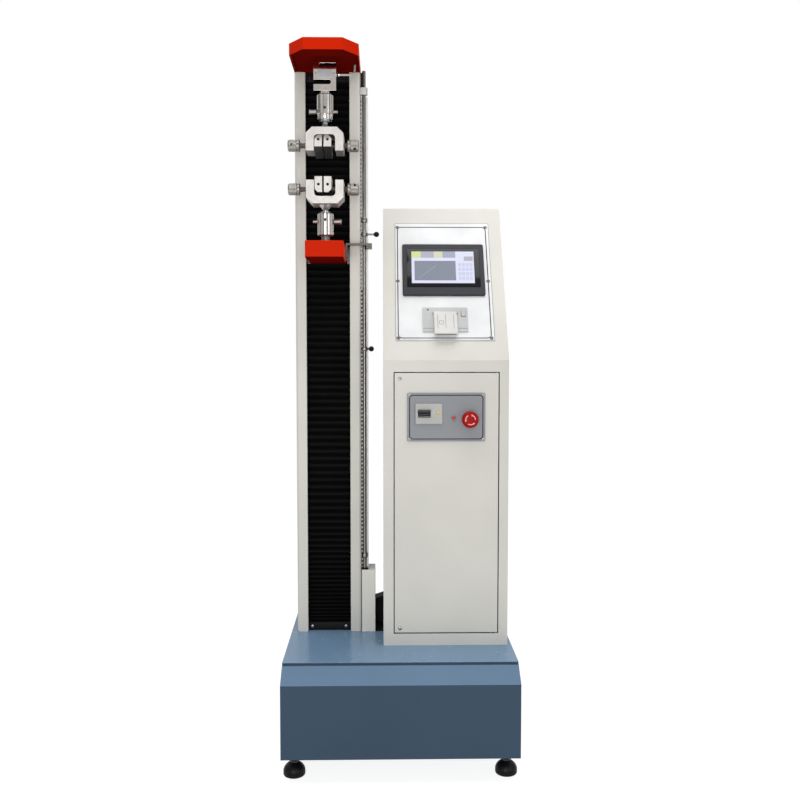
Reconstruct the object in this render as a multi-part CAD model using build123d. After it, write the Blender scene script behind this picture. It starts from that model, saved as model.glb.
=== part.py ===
from build123d import *
import math
import os

# Single-column universal testing machine.
# Millimetres, +Z up, front towards -Y, origin on the floor under the middle of the base.

# Base and levelling feet
BASE_DEPTH = 580.0
BASE_HEIGHT = 204.0
FLOOR_GAP = 60.0
BEVEL_DEPTH = 44.0
BEVEL_DROP = 37.0
BASE_WALL = 3.0
TOP_PLATE = 5.0
TOP_FLANGE = 24.0
PLATE_CORNER = 3.0
FOOT_INSET_X = 25.0
FOOT_INSET_Y = 59.0
PAD_DIAMETER = 50.0
PAD_RIM = 14.0
PAD_HEIGHT = 36.0
PAD_NECK = 24.0
PAD_SHOULDER = 29.0
STUD_DIAMETER = 12.0
STUD_REACH = 45.0
FOOT_NUT_DIAMETER = 28.0
FOOT_NUT_HEIGHT = 14.0

# Column, head beam and cap
COLUMN_LEFT_INSET = 15.0
COLUMN_WIDTH = 158.0
COLUMN_DEPTH = 150.0
COLUMN_SETBACK = 227.0
COLUMN_HEIGHT = 1366.0
COLUMN_WALL = 5.0
COLUMN_CORNER = 6.0
LIP_WIDTH = 26.0
LIP_RETURN = 12.0
CAP_HEIGHT = 27.0
CAP_WALL = 3.0
CAP_REACH = 171.0
CAP_CHAMFER = 45.5
CAP_NOSE = 89.0
BEAM_WIDTH = 92.0
BEAM_FOOT = 7.0
BEAM_OVERHANG = 34.0
HEAD_PLATE = 4.0
LEAD_HOLE = 10.0

# Guides, ball screw and drive
RAIL_WIDTH = 20.0
RAIL_HEIGHT = 17.5
RAIL_WAIST = 3.0
RAIL_SPACING = 90.0
RAIL_END_GAP = 40.0
BLOCK_WIDTH = 44.0
BLOCK_LENGTH = 64.0
BLOCK_TOP = 30.0
BLOCK_SKIRT = 4.6
BLOCK_PITCH = 78.0
SCREW_DIAMETER = 20.0
SCREW_SETBACK = 67.0
JOURNAL_DIAMETER = 15.0
BEARING_WIDTH = 64.0
BEARING_DEPTH = 54.0
BEARING_HEIGHT = 38.0
SCREW_PASS = 34.0
NUT_DIAMETER = 36.0
NUT_FLANGE_DIAMETER = 56.0
NUT_FLANGE = 11.0
NUT_TAIL = 8.0
CARRIAGE_WIDTH = 132.0
CARRIAGE_HEIGHT = 146.0
CARRIAGE_THICKNESS = 14.0
PULLEY_DIAMETER = 64.0
MOTOR_PULLEY_DIAMETER = 40.0
PULLEY_WIDTH = 20.0
PULLEY_RIM = 2.0
PULLEY_RIM_HEIGHT = 3.5
PULLEY_DROP = 14.0
BELT_WIDTH = 15.0
BELT_THICKNESS = 3.0
MOTOR_OFFSET = 152.0
MOTOR_SIZE = 80.0
MOTOR_LENGTH = 112.0
MOTOR_SHAFT = 14.0
MOTOR_SHAFT_SEAT = 20.0
BRACKET_PLATE = 8.0
BRACKET_WEB = 6.0
BRACKET_WIDTH = 96.0

# Crosshead and striker
CROSSHEAD_DROP = 418.0
CROSSHEAD_WIDTH = 87.0
CROSSHEAD_HEIGHT = 38.0
CROSSHEAD_REACH = 153.0
CROSSHEAD_EDGE = 3.0
STRIKER_THICKNESS = 4.6
STRIKER_DEPTH = 14.0
STRIKER_RISE = 9.0
STRIKER_HOOK_WIDTH = 14.0
STRIKER_HOOK_HEIGHT = 12.0
STRIKER_LEG = 42.0

# Pleated guard
GUARD_WIDTH = 116.0
GUARD_DEPTH = 16.0
GUARD_SKIN = 1.6
GUARD_PITCH = 18.0
GUARD_FLANGE = 20.0
GUARD_FLANGE_THICKNESS = 3.0

# Load train
AXIS_REACH = 87.0
CELL_WIDTH = 52.0
CELL_DEPTH = 22.0
CELL_FLANGE = 14.7
CELL_SLOT = 10.0
CELL_WEB = 27.6
CELL_SLOT_LENGTH = 40.0
CELL_GLAND_DIAMETER = 10.0
CELL_GLAND_LENGTH = 8.0
CELL_LEAD_DIAMETER = 5.0
LEAD_TURNS = [(16.0, 0.0, 0.0), (28.0, 20.0, 6.0), (34.0, 56.0, 24.0)]
LEAD_BENDS = [13.0, 16.0, 20.0]
LEAD_TOP_SHIFT = 2.0
COUPLING_DIAMETER = 38.0
COUPLING_EDGE = 2.0
COUPLING_NECK_DIAMETER = 20.0
COUPLING_NECK = 7.5
COUPLING_BODY = 46.0
COLLAR_STEP_DIAMETER = 35.0
COLLAR_STEP = 11.5
COUPLING_STAND = 17.0
LOWER_BODY = 52.0
SPIGOT_DIAMETER = 20.0
SPIGOT_ENGAGED = 42.0
UPPER_NECK = 22.0
LOWER_NECK = 19.0
PIN_DIAMETER = 8.0
PIN_HEAD_DIAMETER = 12.0
PIN_HEAD_LENGTH = 18.0
PIN_TAIL = 10.0
PIN_FROM_MOUTH = 19.0
YOKE_WIDTH = 86.0
YOKE_DEPTH = 65.0
YOKE_HEIGHT = 53.5
YOKE_SLOT = 49.0
YOKE_SLOT_HEIGHT = 37.0
YOKE_SLOT_CORNER = 9.0
YOKE_CHAMFER = 14.0
YOKE_FLARE_DIAMETER = 30.0
YOKE_FLARE = 12.0
YOKE_WAIST_DIAMETER = 11.0
SPIGOT_RING = 4.0
SPIGOT_EDGE = 1.0
SCREW_FROM_TIP = 17.0
JAW_THICKNESS = 17.5
JAW_DEPTH = 60.0
UPPER_JAW_HEIGHT = 28.5
LOWER_JAW_HEIGHT = 36.0
UPPER_JAW_REACH = 17.0
LOWER_JAW_REACH = 25.2
JAW_CHAMFER = 7.0
JAW_GAP = 3.6
JAW_OFFSET = -4.0
JAW_HOLE_DIAMETER = 6.5
JAW_HOLE_DEPTH = 10.0
JAW_HOLE_RISE = 18.0
UPPER_JAW_TILT = 16.0
CLAMP_DIAMETER = 12.5
CLAMP_TIP_DIAMETER = 9.0
CLAMP_TIP = 8.0
CLAMP_LENGTH = 35.5
KNOB_DIAMETER = 27.6
KNOB_LENGTH = 27.6
KNOB_EDGE = 2.0
KNOB_WAIST = 4.0
KNOB_GROOVE = 1.2
TOMMY_HOLE = 7.0
TOMMY_TURNS = {"upper_left": 90.0, "upper_right": -50.0, "lower_left": 0.0, "lower_right": 50.0}

# Limit rod, stops, rule and switch box
ROD_DIAMETER = 8.8
ROD_OFFSET = 8.8
ROD_SETBACK = 11.0
ROD_RISE = 6.0
ROD_SINK = 119.0
STOP_DIAMETER = 15.0
STOP_HEIGHT = 10.4
UPPER_STOP_RISE = 27.7
LOWER_STOP_DROP = 251.0
TOP_COLLAR_RISE = 60.6
LOW_COLLAR_RISE = 28.0
COLLAR_HEIGHT = 13.0
LEVER_DIAMETER = 4.5
LEVER_LENGTH = 30.0
LEVER_BALL = 13.0
LOWER_LEVER_TURN = -55.0
GUIDE_DROP = 52.0
GUIDE_HEIGHT = 17.0
GUIDE_DEPTH = 18.0
RULE_WIDTH = 18.5
RULE_FLANGE = 14.0
RULE_THICKNESS = 1.2
RULE_RISE = 5.0
RULE_DROP = 54.0
BOX_GAP = 1.6
BOX_WIDTH = 33.0
BOX_HEIGHT = 155.0
BOX_DEPTH = 66.0
BOX_WALL = 1.5
BOX_ROD_HOLE = 11.0
SWITCH_WIDTH = 10.0
SWITCH_DEPTH = 28.0
SWITCH_HEIGHT = 17.0
SWITCH_SPACING = 44.0
SWITCH_RISE = 38.0

# Cabinet, door and slanted panel
CABINET_WIDTH = 294.0
CABINET_GAP = 55.0
CABINET_RIGHT_INSET = 10.0
CABINET_SETBACK = 117.0
CABINET_DEPTH = 354.0
CABINET_HEIGHT = 1056.6
CABINET_TOP_DEPTH = 143.0
FOLD_HEIGHT = 675.7
CABINET_WALL = 2.0
WINDOW_SIDE = 10.5
WINDOW_END = 12.5
DOOR_HEIGHT = 617.0
DOOR_LEFT_INSET = 25.5
DOOR_RIGHT_INSET = 23.5
DOOR_SILL = 30.0
DOOR_GAP = 1.5
DOOR_SHEET = 2.0
DOOR_RETURN = 16.0
DOOR_FOLD = 2.0
HINGE_INSET = 4.0
HINGE_PIN = 4.0
HINGE_PIN_LENGTH = 12.0
LUG_WIDTH = 16.0
LUG_DEPTH = 18.0
LUG_THICKNESS = 4.0
PANEL_LENGTH = 337.0
PANEL_SHEET = 2.0
PANEL_SHIFT = 2.78
PANEL_INSET = 29.0
PANEL_RIGHT_INSET = 30.0
SCREEN_SIDE = 47.0
SCREEN_HEIGHT = 148.0
SCREEN_BEZEL = 6.0
SCREEN_EDGE = 1.2
SCREEN_CORNER = 5.0
SCREEN_RIM = 6.0
SCREEN_BODY_DEPTH = 34.0
SCREEN_ABOVE_PANEL = 122.0
GLASS_SIDE = 11.0
GLASS_HEIGHT = 112.0
GLASS_RISE = 22.0
GLASS_THICKNESS = 1.2

# Panel printer
PRINTER_WIDTH = 108.0
PRINTER_HEIGHT = 66.0
PRINTER_PLATE = 3.0
PRINTER_SHIFT = 0.5
PRINTER_ABOVE_PANEL = 22.5
PRINTER_RIM = 4.0
PRINTER_BODY_DEPTH = 42.0
PRINTER_WALL = 2.0
PRINTER_CORNER = 1.5
COVER_WIDTH = 54.5
COVER_BAY_LENGTH = 47.0
COVER_NOSE = 2.2
COVER_HEIGHT = 17.0
COVER_LIP = 9.0
COVER_OVERHANG = 14.5
COVER_WALL = 2.0
COVER_HINGE_RISE = 51.0
COVER_PIN = 2.4
COVER_PIN_LENGTH = 2.6
COVER_EAR = 3.0
FEED_BUTTON_WIDTH = 9.5
FEED_BUTTON_LENGTH = 14.0
FEED_BUTTON_HEIGHT = 2.0
FEED_CORNER = 1.0
FEED_TRAVEL = 1.0
FEED_SEAT = 3.0
FEED_BUTTON_RIGHT = 10.5
FEED_BUTTON_RISE = 48.5

# Power panel on the door
POWER_WIDTH = 183.0
POWER_HEIGHT = 114.0
POWER_SHEET = 3.0
POWER_SHIFT = -1.0
POWER_DROP = 47.0
POWER_MARGIN = 11.0
BREAKER_WIDTH = 63.5
BREAKER_HEIGHT = 48.0
BREAKER_PROUD = 4.0
BREAKER_DEPTH = 66.0
BREAKER_EDGE = 1.5
BREAKER_LEFT = 19.0
BREAKER_RISE = 41.0
TOGGLE_WIDTH = 30.0
TOGGLE_SLOT = 18.0
TOGGLE_HUB = 12.0
TOGGLE_LEVER = 11.0
TOGGLE_THICKNESS = 6.0
TOGGLE_LEFT = 6.0
TOGGLE_TILT = 28.0
TEST_BUTTON = 6.0
TEST_BUTTON_PROUD = 2.0
TEST_BUTTON_LEFT = 53.0
TEST_BUTTON_RISE = 27.0
TEST_BUTTON_SEAT = 10.0
LAMP_DIAMETER = 8.0
LAMP_RIM = 11.0
LAMP_LEFT = 108.7
LAMP_RISE = 55.2
LAMP_BODY = 26.0
LAMP_PROUD = 4.0
STOP_BUTTON_DIAMETER = 39.0
STOP_BUTTON_LEFT = 145.7
STOP_BUTTON_RISE = 52.8
STOP_BASE_DIAMETER = 30.0
STOP_BASE = 9.0
STOP_BARREL_DIAMETER = 22.0
STOP_STEM_DIAMETER = 15.0
STOP_TRAVEL_GAP = 6.5
STOP_CAP = 15.0
STOP_CAP_EDGE = 5.0
CONTACT_BLOCK = 30.0
CONTACT_BLOCK_DEPTH = 40.0

# Inside the cabinet, and cable fittings
TRAY_SIDE = 19.0
TRAY_HEIGHT = 560.0
TRAY_SHEET = 2.0
TRAY_RETURN = 16.0
TRAY_RISE = 60.0
DRIVE_SIZE = (62.0, 128.0, 172.0)
SUPPLY_SIZE = (104.0, 46.0, 190.0)
CONTROLLER_SIZE = (150.0, 40.0, 180.0)
MODULE_GAP = 16.0
DUCT_HEIGHT = 60.0
DUCT_SLOPE = 9.0
DUCT_DEPTH = 44.0
DUCT_SETBACK = 12.0
INLET_WIDTH = 48.0
INLET_HEIGHT = 28.0
INLET_DEPTH = 30.0
INLET_RIM = 3.0
INLET_MARGIN = 5.0
INLET_RISE = 90.0
INLET_LEFT = 60.0
INLET_SOCKET = 12.0

# Clearances
FIT = 0.08
RUN = 0.3
SLIP = 0.6

# Places that follow from the sizes
BASE_WIDTH = COLUMN_LEFT_INSET + COLUMN_WIDTH + CABINET_GAP + CABINET_WIDTH + CABINET_RIGHT_INSET
BASE_FRONT = -BASE_DEPTH / 2
BASE_REAR = BASE_DEPTH / 2
BASE_TOP = FLOOR_GAP + BASE_HEIGHT
HOUSING_TOP = BASE_TOP - TOP_PLATE
TOP_FRONT = BASE_FRONT + BEVEL_DEPTH
COLUMN_X = -BASE_WIDTH / 2 + COLUMN_LEFT_INSET + COLUMN_WIDTH / 2
COLUMN_FRONT = TOP_FRONT + COLUMN_SETBACK
COLUMN_REAR = COLUMN_FRONT + COLUMN_DEPTH
COLUMN_SIDE = COLUMN_X + COLUMN_WIDTH / 2
COLUMN_TOP = BASE_TOP + COLUMN_HEIGHT
COLUMN_BACK = COLUMN_REAR - COLUMN_WALL
BEAM_BOTTOM = COLUMN_TOP + BEAM_FOOT
CAP_TOP = COLUMN_TOP + CAP_HEIGHT
CAP_CEILING = CAP_TOP - CAP_WALL
CAP_FRONT = COLUMN_FRONT - CAP_REACH
AXIS_Y = COLUMN_FRONT - AXIS_REACH
SCREW_Y = COLUMN_FRONT + SCREW_SETBACK
CROSSHEAD_TOP_Z = COLUMN_TOP - CROSSHEAD_DROP
CROSSHEAD_BOTTOM = CROSSHEAD_TOP_Z - CROSSHEAD_HEIGHT
CROSSHEAD_MIDDLE = CROSSHEAD_TOP_Z - CROSSHEAD_HEIGHT / 2
CROSSHEAD_FRONT = COLUMN_FRONT - CROSSHEAD_REACH
CARRIAGE_BACK = COLUMN_BACK - BLOCK_TOP
CARRIAGE_FRONT = CARRIAGE_BACK - CARRIAGE_THICKNESS
GUARD_FRONT = COLUMN_FRONT + LIP_RETURN + SLIP
MOTOR_X = COLUMN_X + MOTOR_OFFSET
PULLEY_TOP = HOUSING_TOP - PULLEY_DROP
PULLEY_BOTTOM = PULLEY_TOP - PULLEY_WIDTH
BRACKET_TOP = PULLEY_BOTTOM - PULLEY_DROP
CELL_HEIGHT = 2 * CELL_FLANGE + 2 * CELL_SLOT + CELL_WEB
CELL_BOTTOM = BEAM_BOTTOM - CELL_HEIGHT
COLLAR_BOTTOM = CELL_BOTTOM - COUPLING_NECK - COUPLING_BODY - COLLAR_STEP
UPPER_YOKE_TOP = COLLAR_BOTTOM - UPPER_NECK
UPPER_GRIP_Z = UPPER_YOKE_TOP - YOKE_HEIGHT + SCREW_FROM_TIP
LOWER_BODY_BOTTOM = CROSSHEAD_TOP_Z + COUPLING_STAND
LOWER_BODY_TOP = LOWER_BODY_BOTTOM + LOWER_BODY
LOWER_YOKE_BOTTOM = LOWER_BODY_TOP + LOWER_NECK
LOWER_GRIP_Z = LOWER_YOKE_BOTTOM + YOKE_HEIGHT - SCREW_FROM_TIP
UPPER_PIN_Z = COLLAR_BOTTOM + PIN_FROM_MOUTH
LOWER_PIN_Z = LOWER_BODY_TOP - PIN_FROM_MOUTH
BORE_DEPTH = SPIGOT_ENGAGED + RUN
ROD_X = COLUMN_SIDE + ROD_OFFSET
ROD_Y = COLUMN_FRONT + ROD_SETBACK
ROD_TOP_Z = COLUMN_TOP + ROD_RISE
RULE_Y = ROD_Y + STOP_DIAMETER / 2 + SLIP
BOX_TOP = BASE_TOP + BOX_HEIGHT
ROD_BOTTOM_Z = BOX_TOP - ROD_SINK
UPPER_STOP_Z = CROSSHEAD_TOP_Z + UPPER_STOP_RISE
LOWER_STOP_Z = CROSSHEAD_TOP_Z - LOWER_STOP_DROP
TOP_COLLAR_Z = CROSSHEAD_TOP_Z + TOP_COLLAR_RISE
LOW_COLLAR_Z = BOX_TOP + LOW_COLLAR_RISE
GUIDE_Z = COLUMN_TOP - GUIDE_DROP
RULE_BOTTOM_Z = BOX_TOP + RULE_RISE
RULE_LENGTH = COLUMN_TOP - RULE_DROP - RULE_BOTTOM_Z
CABINET_RIGHT = BASE_WIDTH / 2 - CABINET_RIGHT_INSET
CABINET_LEFT = CABINET_RIGHT - CABINET_WIDTH
CABINET_FRONT = TOP_FRONT + CABINET_SETBACK
CABINET_REAR = CABINET_FRONT + CABINET_DEPTH
CABINET_TOP = BASE_TOP + CABINET_HEIGHT
FOLD_Z = BASE_TOP + FOLD_HEIGHT
DOOR_LEFT = CABINET_LEFT + DOOR_LEFT_INSET
DOOR_RIGHT = CABINET_RIGHT - DOOR_RIGHT_INSET
DOOR_BOTTOM = BASE_TOP + DOOR_SILL
DOOR_TOP = DOOR_BOTTOM + DOOR_HEIGHT
HINGE_X = DOOR_RIGHT - HINGE_INSET
HINGE_Y = CABINET_FRONT + HINGE_INSET
POWER_X = (DOOR_LEFT + DOOR_RIGHT - POWER_WIDTH) / 2 + POWER_SHIFT
POWER_Z = DOOR_TOP - POWER_DROP - POWER_HEIGHT
POWER_FACE = CABINET_FRONT - POWER_SHEET

# The slanted panel's own frame: X across, Y up the slope, Z out of the slope
SLOPE_RUN = CABINET_DEPTH - CABINET_TOP_DEPTH
SLOPE_RISE = CABINET_HEIGHT - FOLD_HEIGHT
SLOPE_LENGTH = math.hypot(SLOPE_RUN, SLOPE_RISE)
PANEL_WIDTH = CABINET_WIDTH - PANEL_INSET - PANEL_RIGHT_INSET
PANEL_RISE = (SLOPE_LENGTH - PANEL_LENGTH) / 2 + PANEL_SHIFT
SCREEN_WIDTH = CABINET_WIDTH - 2 * SCREEN_SIDE
SCREEN_RISE = PANEL_RISE + SCREEN_ABOVE_PANEL
PRINTER_LEFT = (CABINET_WIDTH - PRINTER_WIDTH) / 2 + PRINTER_SHIFT
PRINTER_RISE = PANEL_RISE + PRINTER_ABOVE_PANEL
SLOPE = Plane(
    origin=(CABINET_LEFT, CABINET_FRONT, FOLD_Z),
    x_dir=(1, 0, 0),
    z_dir=(0, -SLOPE_RISE / SLOPE_LENGTH, SLOPE_RUN / SLOPE_LENGTH),
).location


def about(middle, width):
    """Limits of a width laid evenly about a middle."""
    return (middle - width / 2, middle + width / 2)


def grown(limits, clearance):
    return (limits[0] - clearance, limits[1] + clearance)


def block(x, y, z):
    """A box between two limits along each axis."""
    middle = [sum(limits) / 2 for limits in (x, y, z)]
    size = [limits[1] - limits[0] for limits in (x, y, z)]
    return Pos(*middle) * Box(*size)


def rod_x(x, y, z, diameter):
    return Pos(sum(x) / 2, y, z) * Rot(0, 90, 0) * Cylinder(diameter / 2, x[1] - x[0])


def rod_y(x, y, z, diameter):
    return Pos(x, sum(y) / 2, z) * Rot(90, 0, 0) * Cylinder(diameter / 2, y[1] - y[0])


def rod_z(x, y, z, diameter):
    return Pos(x, y, sum(z) / 2) * Cylinder(diameter / 2, z[1] - z[0])


def prism_x(points, x):
    """An outline of (Y, Z) points pushed along X."""
    face = make_face(Plane.YZ * Polyline(*points, close=True))
    return Pos(x[0], 0, 0) * extrude(face, amount=x[1] - x[0], dir=(1, 0, 0))


def prism_y(points, y):
    """An outline of (X, Z) points pushed along Y."""
    face = make_face(Plane.XZ * Polyline(*points, close=True))
    return Pos(0, y[0], 0) * extrude(face, amount=y[1] - y[0], dir=(0, 1, 0))


def turned(points):
    """An outline of (radius, Z) points turned about the Z axis."""
    face = make_face(Plane.XZ * Polyline(*points, close=True))
    return revolve(face, Axis.Z)


def rounded_plate(width, height, thickness, corner):
    """A plate with round corners, its lower left corner at the origin."""
    outline = Pos(width / 2, height / 2, 0) * RectangleRounded(width, height, corner)
    return extrude(outline, amount=thickness)


PARTS = {}

# Base
base_outline = make_face(
    Plane.YZ
    * Polyline(
        (BASE_FRONT, FLOOR_GAP),
        (BASE_REAR, FLOOR_GAP),
        (BASE_REAR, HOUSING_TOP),
        (TOP_FRONT, HOUSING_TOP),
        (BASE_FRONT, BASE_TOP - BEVEL_DROP),
        close=True,
    )
)
base_inside = offset(base_outline, amount=-BASE_WALL, kind=Kind.INTERSECTION)
inner_width = BASE_WIDTH - 2 * BASE_WALL
base_housing = Pos(-BASE_WIDTH / 2, 0, 0) * extrude(base_outline, amount=BASE_WIDTH, dir=(1, 0, 0))
base_housing -= Pos(-inner_width / 2, 0, 0) * extrude(base_inside, amount=inner_width, dir=(1, 0, 0))
base_housing -= block(
    about(0, BASE_WIDTH - 2 * TOP_FLANGE),
    (TOP_FRONT + TOP_FLANGE, BASE_REAR - TOP_FLANGE),
    (HOUSING_TOP - 2 * BASE_WALL, HOUSING_TOP),
)

FOOT_PLACES = {}
for depth_name, foot_y in (("front", BASE_FRONT + FOOT_INSET_Y), ("rear", BASE_REAR - FOOT_INSET_Y)):
    for side_name, side in (("left", -1), ("right", 1)):
        foot_x = side * (BASE_WIDTH / 2 - FOOT_INSET_X)
        FOOT_PLACES[f"{depth_name}_{side_name}_foot"] = (foot_x, foot_y)

floor_top = FLOOR_GAP + BASE_WALL
for foot_x, foot_y in FOOT_PLACES.values():
    nut_z = (floor_top, floor_top + FOOT_NUT_HEIGHT)
    base_housing += block(about(foot_x, FOOT_NUT_DIAMETER), about(foot_y, FOOT_NUT_DIAMETER), nut_z)
    base_housing -= rod_z(foot_x, foot_y, (FLOOR_GAP, nut_z[1]), STUD_DIAMETER + 2 * FIT)
PARTS["base_housing"] = base_housing

top_plate = block(about(0, BASE_WIDTH), (TOP_FRONT, BASE_REAR), (HOUSING_TOP, BASE_TOP))
top_plate = fillet(top_plate.edges().filter_by(Axis.Z), PLATE_CORNER)
top_plate -= rod_z(COLUMN_X, SCREW_Y, (HOUSING_TOP, BASE_TOP), SCREW_PASS)
PARTS["base_top_plate"] = top_plate


def levelling_foot(x, y):
    """A domed pad and the threaded stud that stands in it."""
    pad = turned(
        [
            (0, 0),
            (PAD_DIAMETER / 2 - PAD_RIM / 5, 0),
            (PAD_DIAMETER / 2, PAD_RIM / 4),
            (PAD_DIAMETER / 2, PAD_RIM),
            (PAD_NECK / 2, PAD_SHOULDER),
            (PAD_NECK / 2, PAD_HEIGHT),
            (0, PAD_HEIGHT),
        ]
    )
    stud = rod_z(0, 0, (PAD_HEIGHT, FLOOR_GAP + STUD_REACH), STUD_DIAMETER)
    return Compound([(Pos(x, y, 0) * piece).solid() for piece in (pad, stud)])


for name, place in FOOT_PLACES.items():
    PARTS[name] = levelling_foot(*place)

# Column: one folded profile, open at the front between two lips that turn inwards
opening = COLUMN_WIDTH - 2 * LIP_WIDTH
section = RectangleRounded(COLUMN_WIDTH, COLUMN_DEPTH, COLUMN_CORNER)
section -= RectangleRounded(
    COLUMN_WIDTH - 2 * COLUMN_WALL, COLUMN_DEPTH - 2 * COLUMN_WALL, COLUMN_CORNER - COLUMN_WALL / 2
)
section -= Pos(0, -COLUMN_DEPTH / 2 + COLUMN_WALL / 2) * Rectangle(opening, COLUMN_WALL)
for side in (-1, 1):
    lip_x = side * (opening / 2 + COLUMN_WALL / 2)
    section += Pos(lip_x, -COLUMN_DEPTH / 2 + LIP_RETURN / 2) * Rectangle(COLUMN_WALL, LIP_RETURN)
section = Pos(COLUMN_X, COLUMN_FRONT + COLUMN_DEPTH / 2, BASE_TOP) * section
PARTS["column_profile"] = extrude(section, amount=COLUMN_HEIGHT)

# Head beam: it stands on the column and reaches out over the load train, with a plate that closes the cap
def cap_outline(wall):
    """The cap's plan, set in by a wall: straight sides, two front chamfers and a flat nose."""
    half = COLUMN_WIDTH / 2
    plan = make_face(
        Polyline(
            (COLUMN_X - half, COLUMN_REAR),
            (COLUMN_X - half, CAP_FRONT + CAP_CHAMFER),
            (COLUMN_X - CAP_NOSE / 2, CAP_FRONT),
            (COLUMN_X + CAP_NOSE / 2, CAP_FRONT),
            (COLUMN_X + half, CAP_FRONT + CAP_CHAMFER),
            (COLUMN_X + half, COLUMN_REAR),
            close=True,
        )
    )
    return plan if wall == 0 else offset(plan, amount=-wall, kind=Kind.INTERSECTION)


beam_front = AXIS_Y - BEAM_OVERHANG
beam_sides = about(COLUMN_X, BEAM_WIDTH)
foot_sides = about(COLUMN_X, COLUMN_WIDTH - COLUMN_WALL)
head_beam = block(beam_sides, (beam_front, COLUMN_BACK), (BEAM_BOTTOM, CAP_CEILING))
head_beam += block(foot_sides, (COLUMN_FRONT, COLUMN_BACK), (COLUMN_TOP, BEAM_BOTTOM))
head_plate = extrude(cap_outline(CAP_WALL + RUN), amount=HEAD_PLATE, dir=(0, 0, 1))
head_beam += Pos(0, 0, BEAM_BOTTOM) * head_plate
lead_x = COLUMN_X + CELL_WIDTH / 2 + CELL_GLAND_LENGTH + LEAD_TURNS[-1][0]
lead_y = AXIS_Y + LEAD_TURNS[-1][1]
head_beam -= rod_z(lead_x, lead_y, (BEAM_BOTTOM, BEAM_BOTTOM + HEAD_PLATE), LEAD_HOLE)
PARTS["head_beam"] = head_beam

cap = Pos(0, 0, COLUMN_TOP) * extrude(cap_outline(0), amount=CAP_HEIGHT, dir=(0, 0, 1))
cap = fillet(cap.edges().group_by(Axis.Z)[-1], CAP_WALL / 2)
cap -= Pos(0, 0, COLUMN_TOP) * extrude(cap_outline(CAP_WALL), amount=CAP_HEIGHT - CAP_WALL, dir=(0, 0, 1))
cap_foot_gap = about(COLUMN_X, COLUMN_WIDTH - COLUMN_WALL + 2 * RUN)
PARTS["cap_cover"] = cap - block(cap_foot_gap, (COLUMN_FRONT, COLUMN_BACK), (COLUMN_TOP, BEAM_BOTTOM + RUN))

# Guides on the column's back wall, and the ball screw between its two bearings
rail_bottom = BASE_TOP + RAIL_END_GAP
rail_top = COLUMN_TOP - RAIL_END_GAP
rails = []
for side in (-1, 1):
    rail_x = COLUMN_X + side * RAIL_SPACING / 2
    rail = block(about(rail_x, RAIL_WIDTH), (COLUMN_BACK - RAIL_HEIGHT, COLUMN_BACK), (rail_bottom, rail_top))
    for flank in (-1, 1):
        waist_x = rail_x + flank * RAIL_WIDTH / 2
        waist_y = about(COLUMN_BACK - RAIL_HEIGHT / 2, RAIL_HEIGHT / 3)
        rail -= block(about(waist_x, RAIL_WAIST), waist_y, (rail_bottom, rail_top))
    rails.append(rail.solid())

bearings = []
for bearing_z in ((BASE_TOP, BASE_TOP + BEARING_HEIGHT), (COLUMN_TOP - BEARING_HEIGHT, COLUMN_TOP)):
    bearing = block(about(COLUMN_X, BEARING_WIDTH), about(SCREW_Y, BEARING_DEPTH), bearing_z)
    bearing = fillet(bearing.edges().filter_by(Axis.Z), PLATE_CORNER)
    bearing -= rod_z(COLUMN_X, SCREW_Y, bearing_z, JOURNAL_DIAMETER + 2 * FIT)
    bearings.append(bearing.solid())
PARTS["column_guides"] = Compound(rails + bearings)

shoulder_low = BASE_TOP + BEARING_HEIGHT + RUN
shoulder_high = COLUMN_TOP - BEARING_HEIGHT - RUN
ball_screw = rod_z(COLUMN_X, SCREW_Y, (PULLEY_BOTTOM, COLUMN_TOP - RUN), JOURNAL_DIAMETER)
ball_screw += rod_z(COLUMN_X, SCREW_Y, (shoulder_low, shoulder_high), SCREW_DIAMETER)


def pulley(diameter, bore):
    """A belt pulley between two thin rims, standing on Z = 0."""
    rim = diameter / 2 + PULLEY_RIM_HEIGHT
    outline = [(0, 0), (rim, 0), (rim, PULLEY_RIM), (diameter / 2, PULLEY_RIM)]
    outline += [(diameter / 2, PULLEY_WIDTH - PULLEY_RIM), (rim, PULLEY_WIDTH - PULLEY_RIM)]
    outline += [(rim, PULLEY_WIDTH), (0, PULLEY_WIDTH)]
    wheel = turned(outline)
    return wheel - rod_z(0, 0, (0, PULLEY_WIDTH), bore) if bore else wheel


screw_pulley = Pos(COLUMN_X, SCREW_Y, PULLEY_BOTTOM) * pulley(PULLEY_DIAMETER, JOURNAL_DIAMETER + 2 * FIT)
PARTS["ball_screw"] = Compound([ball_screw.solid(), screw_pulley.solid()])

motor_pulley = Pos(MOTOR_X, SCREW_Y, PULLEY_BOTTOM) * pulley(MOTOR_PULLEY_DIAMETER, 0)
shaft_bottom = BRACKET_TOP - BRACKET_PLATE - MOTOR_SHAFT_SEAT
motor_pulley += rod_z(MOTOR_X, SCREW_Y, (shaft_bottom, PULLEY_BOTTOM), MOTOR_SHAFT)
PARTS["motor_pulley"] = motor_pulley


def belt_loop(growth):
    """The closed outline that lies a given distance off both pulleys."""
    large = Pos(COLUMN_X, SCREW_Y) * Circle(PULLEY_DIAMETER / 2 + growth)
    small = Pos(MOTOR_X, SCREW_Y) * Circle(MOTOR_PULLEY_DIAMETER / 2 + growth)
    return make_hull(large.edges() + small.edges())


belt_z = PULLEY_BOTTOM + (PULLEY_WIDTH - BELT_WIDTH) / 2
belt = extrude(belt_loop(RUN + BELT_THICKNESS) - belt_loop(RUN), amount=BELT_WIDTH, dir=(0, 0, 1))
PARTS["timing_belt"] = Pos(0, 0, belt_z) * belt

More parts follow.
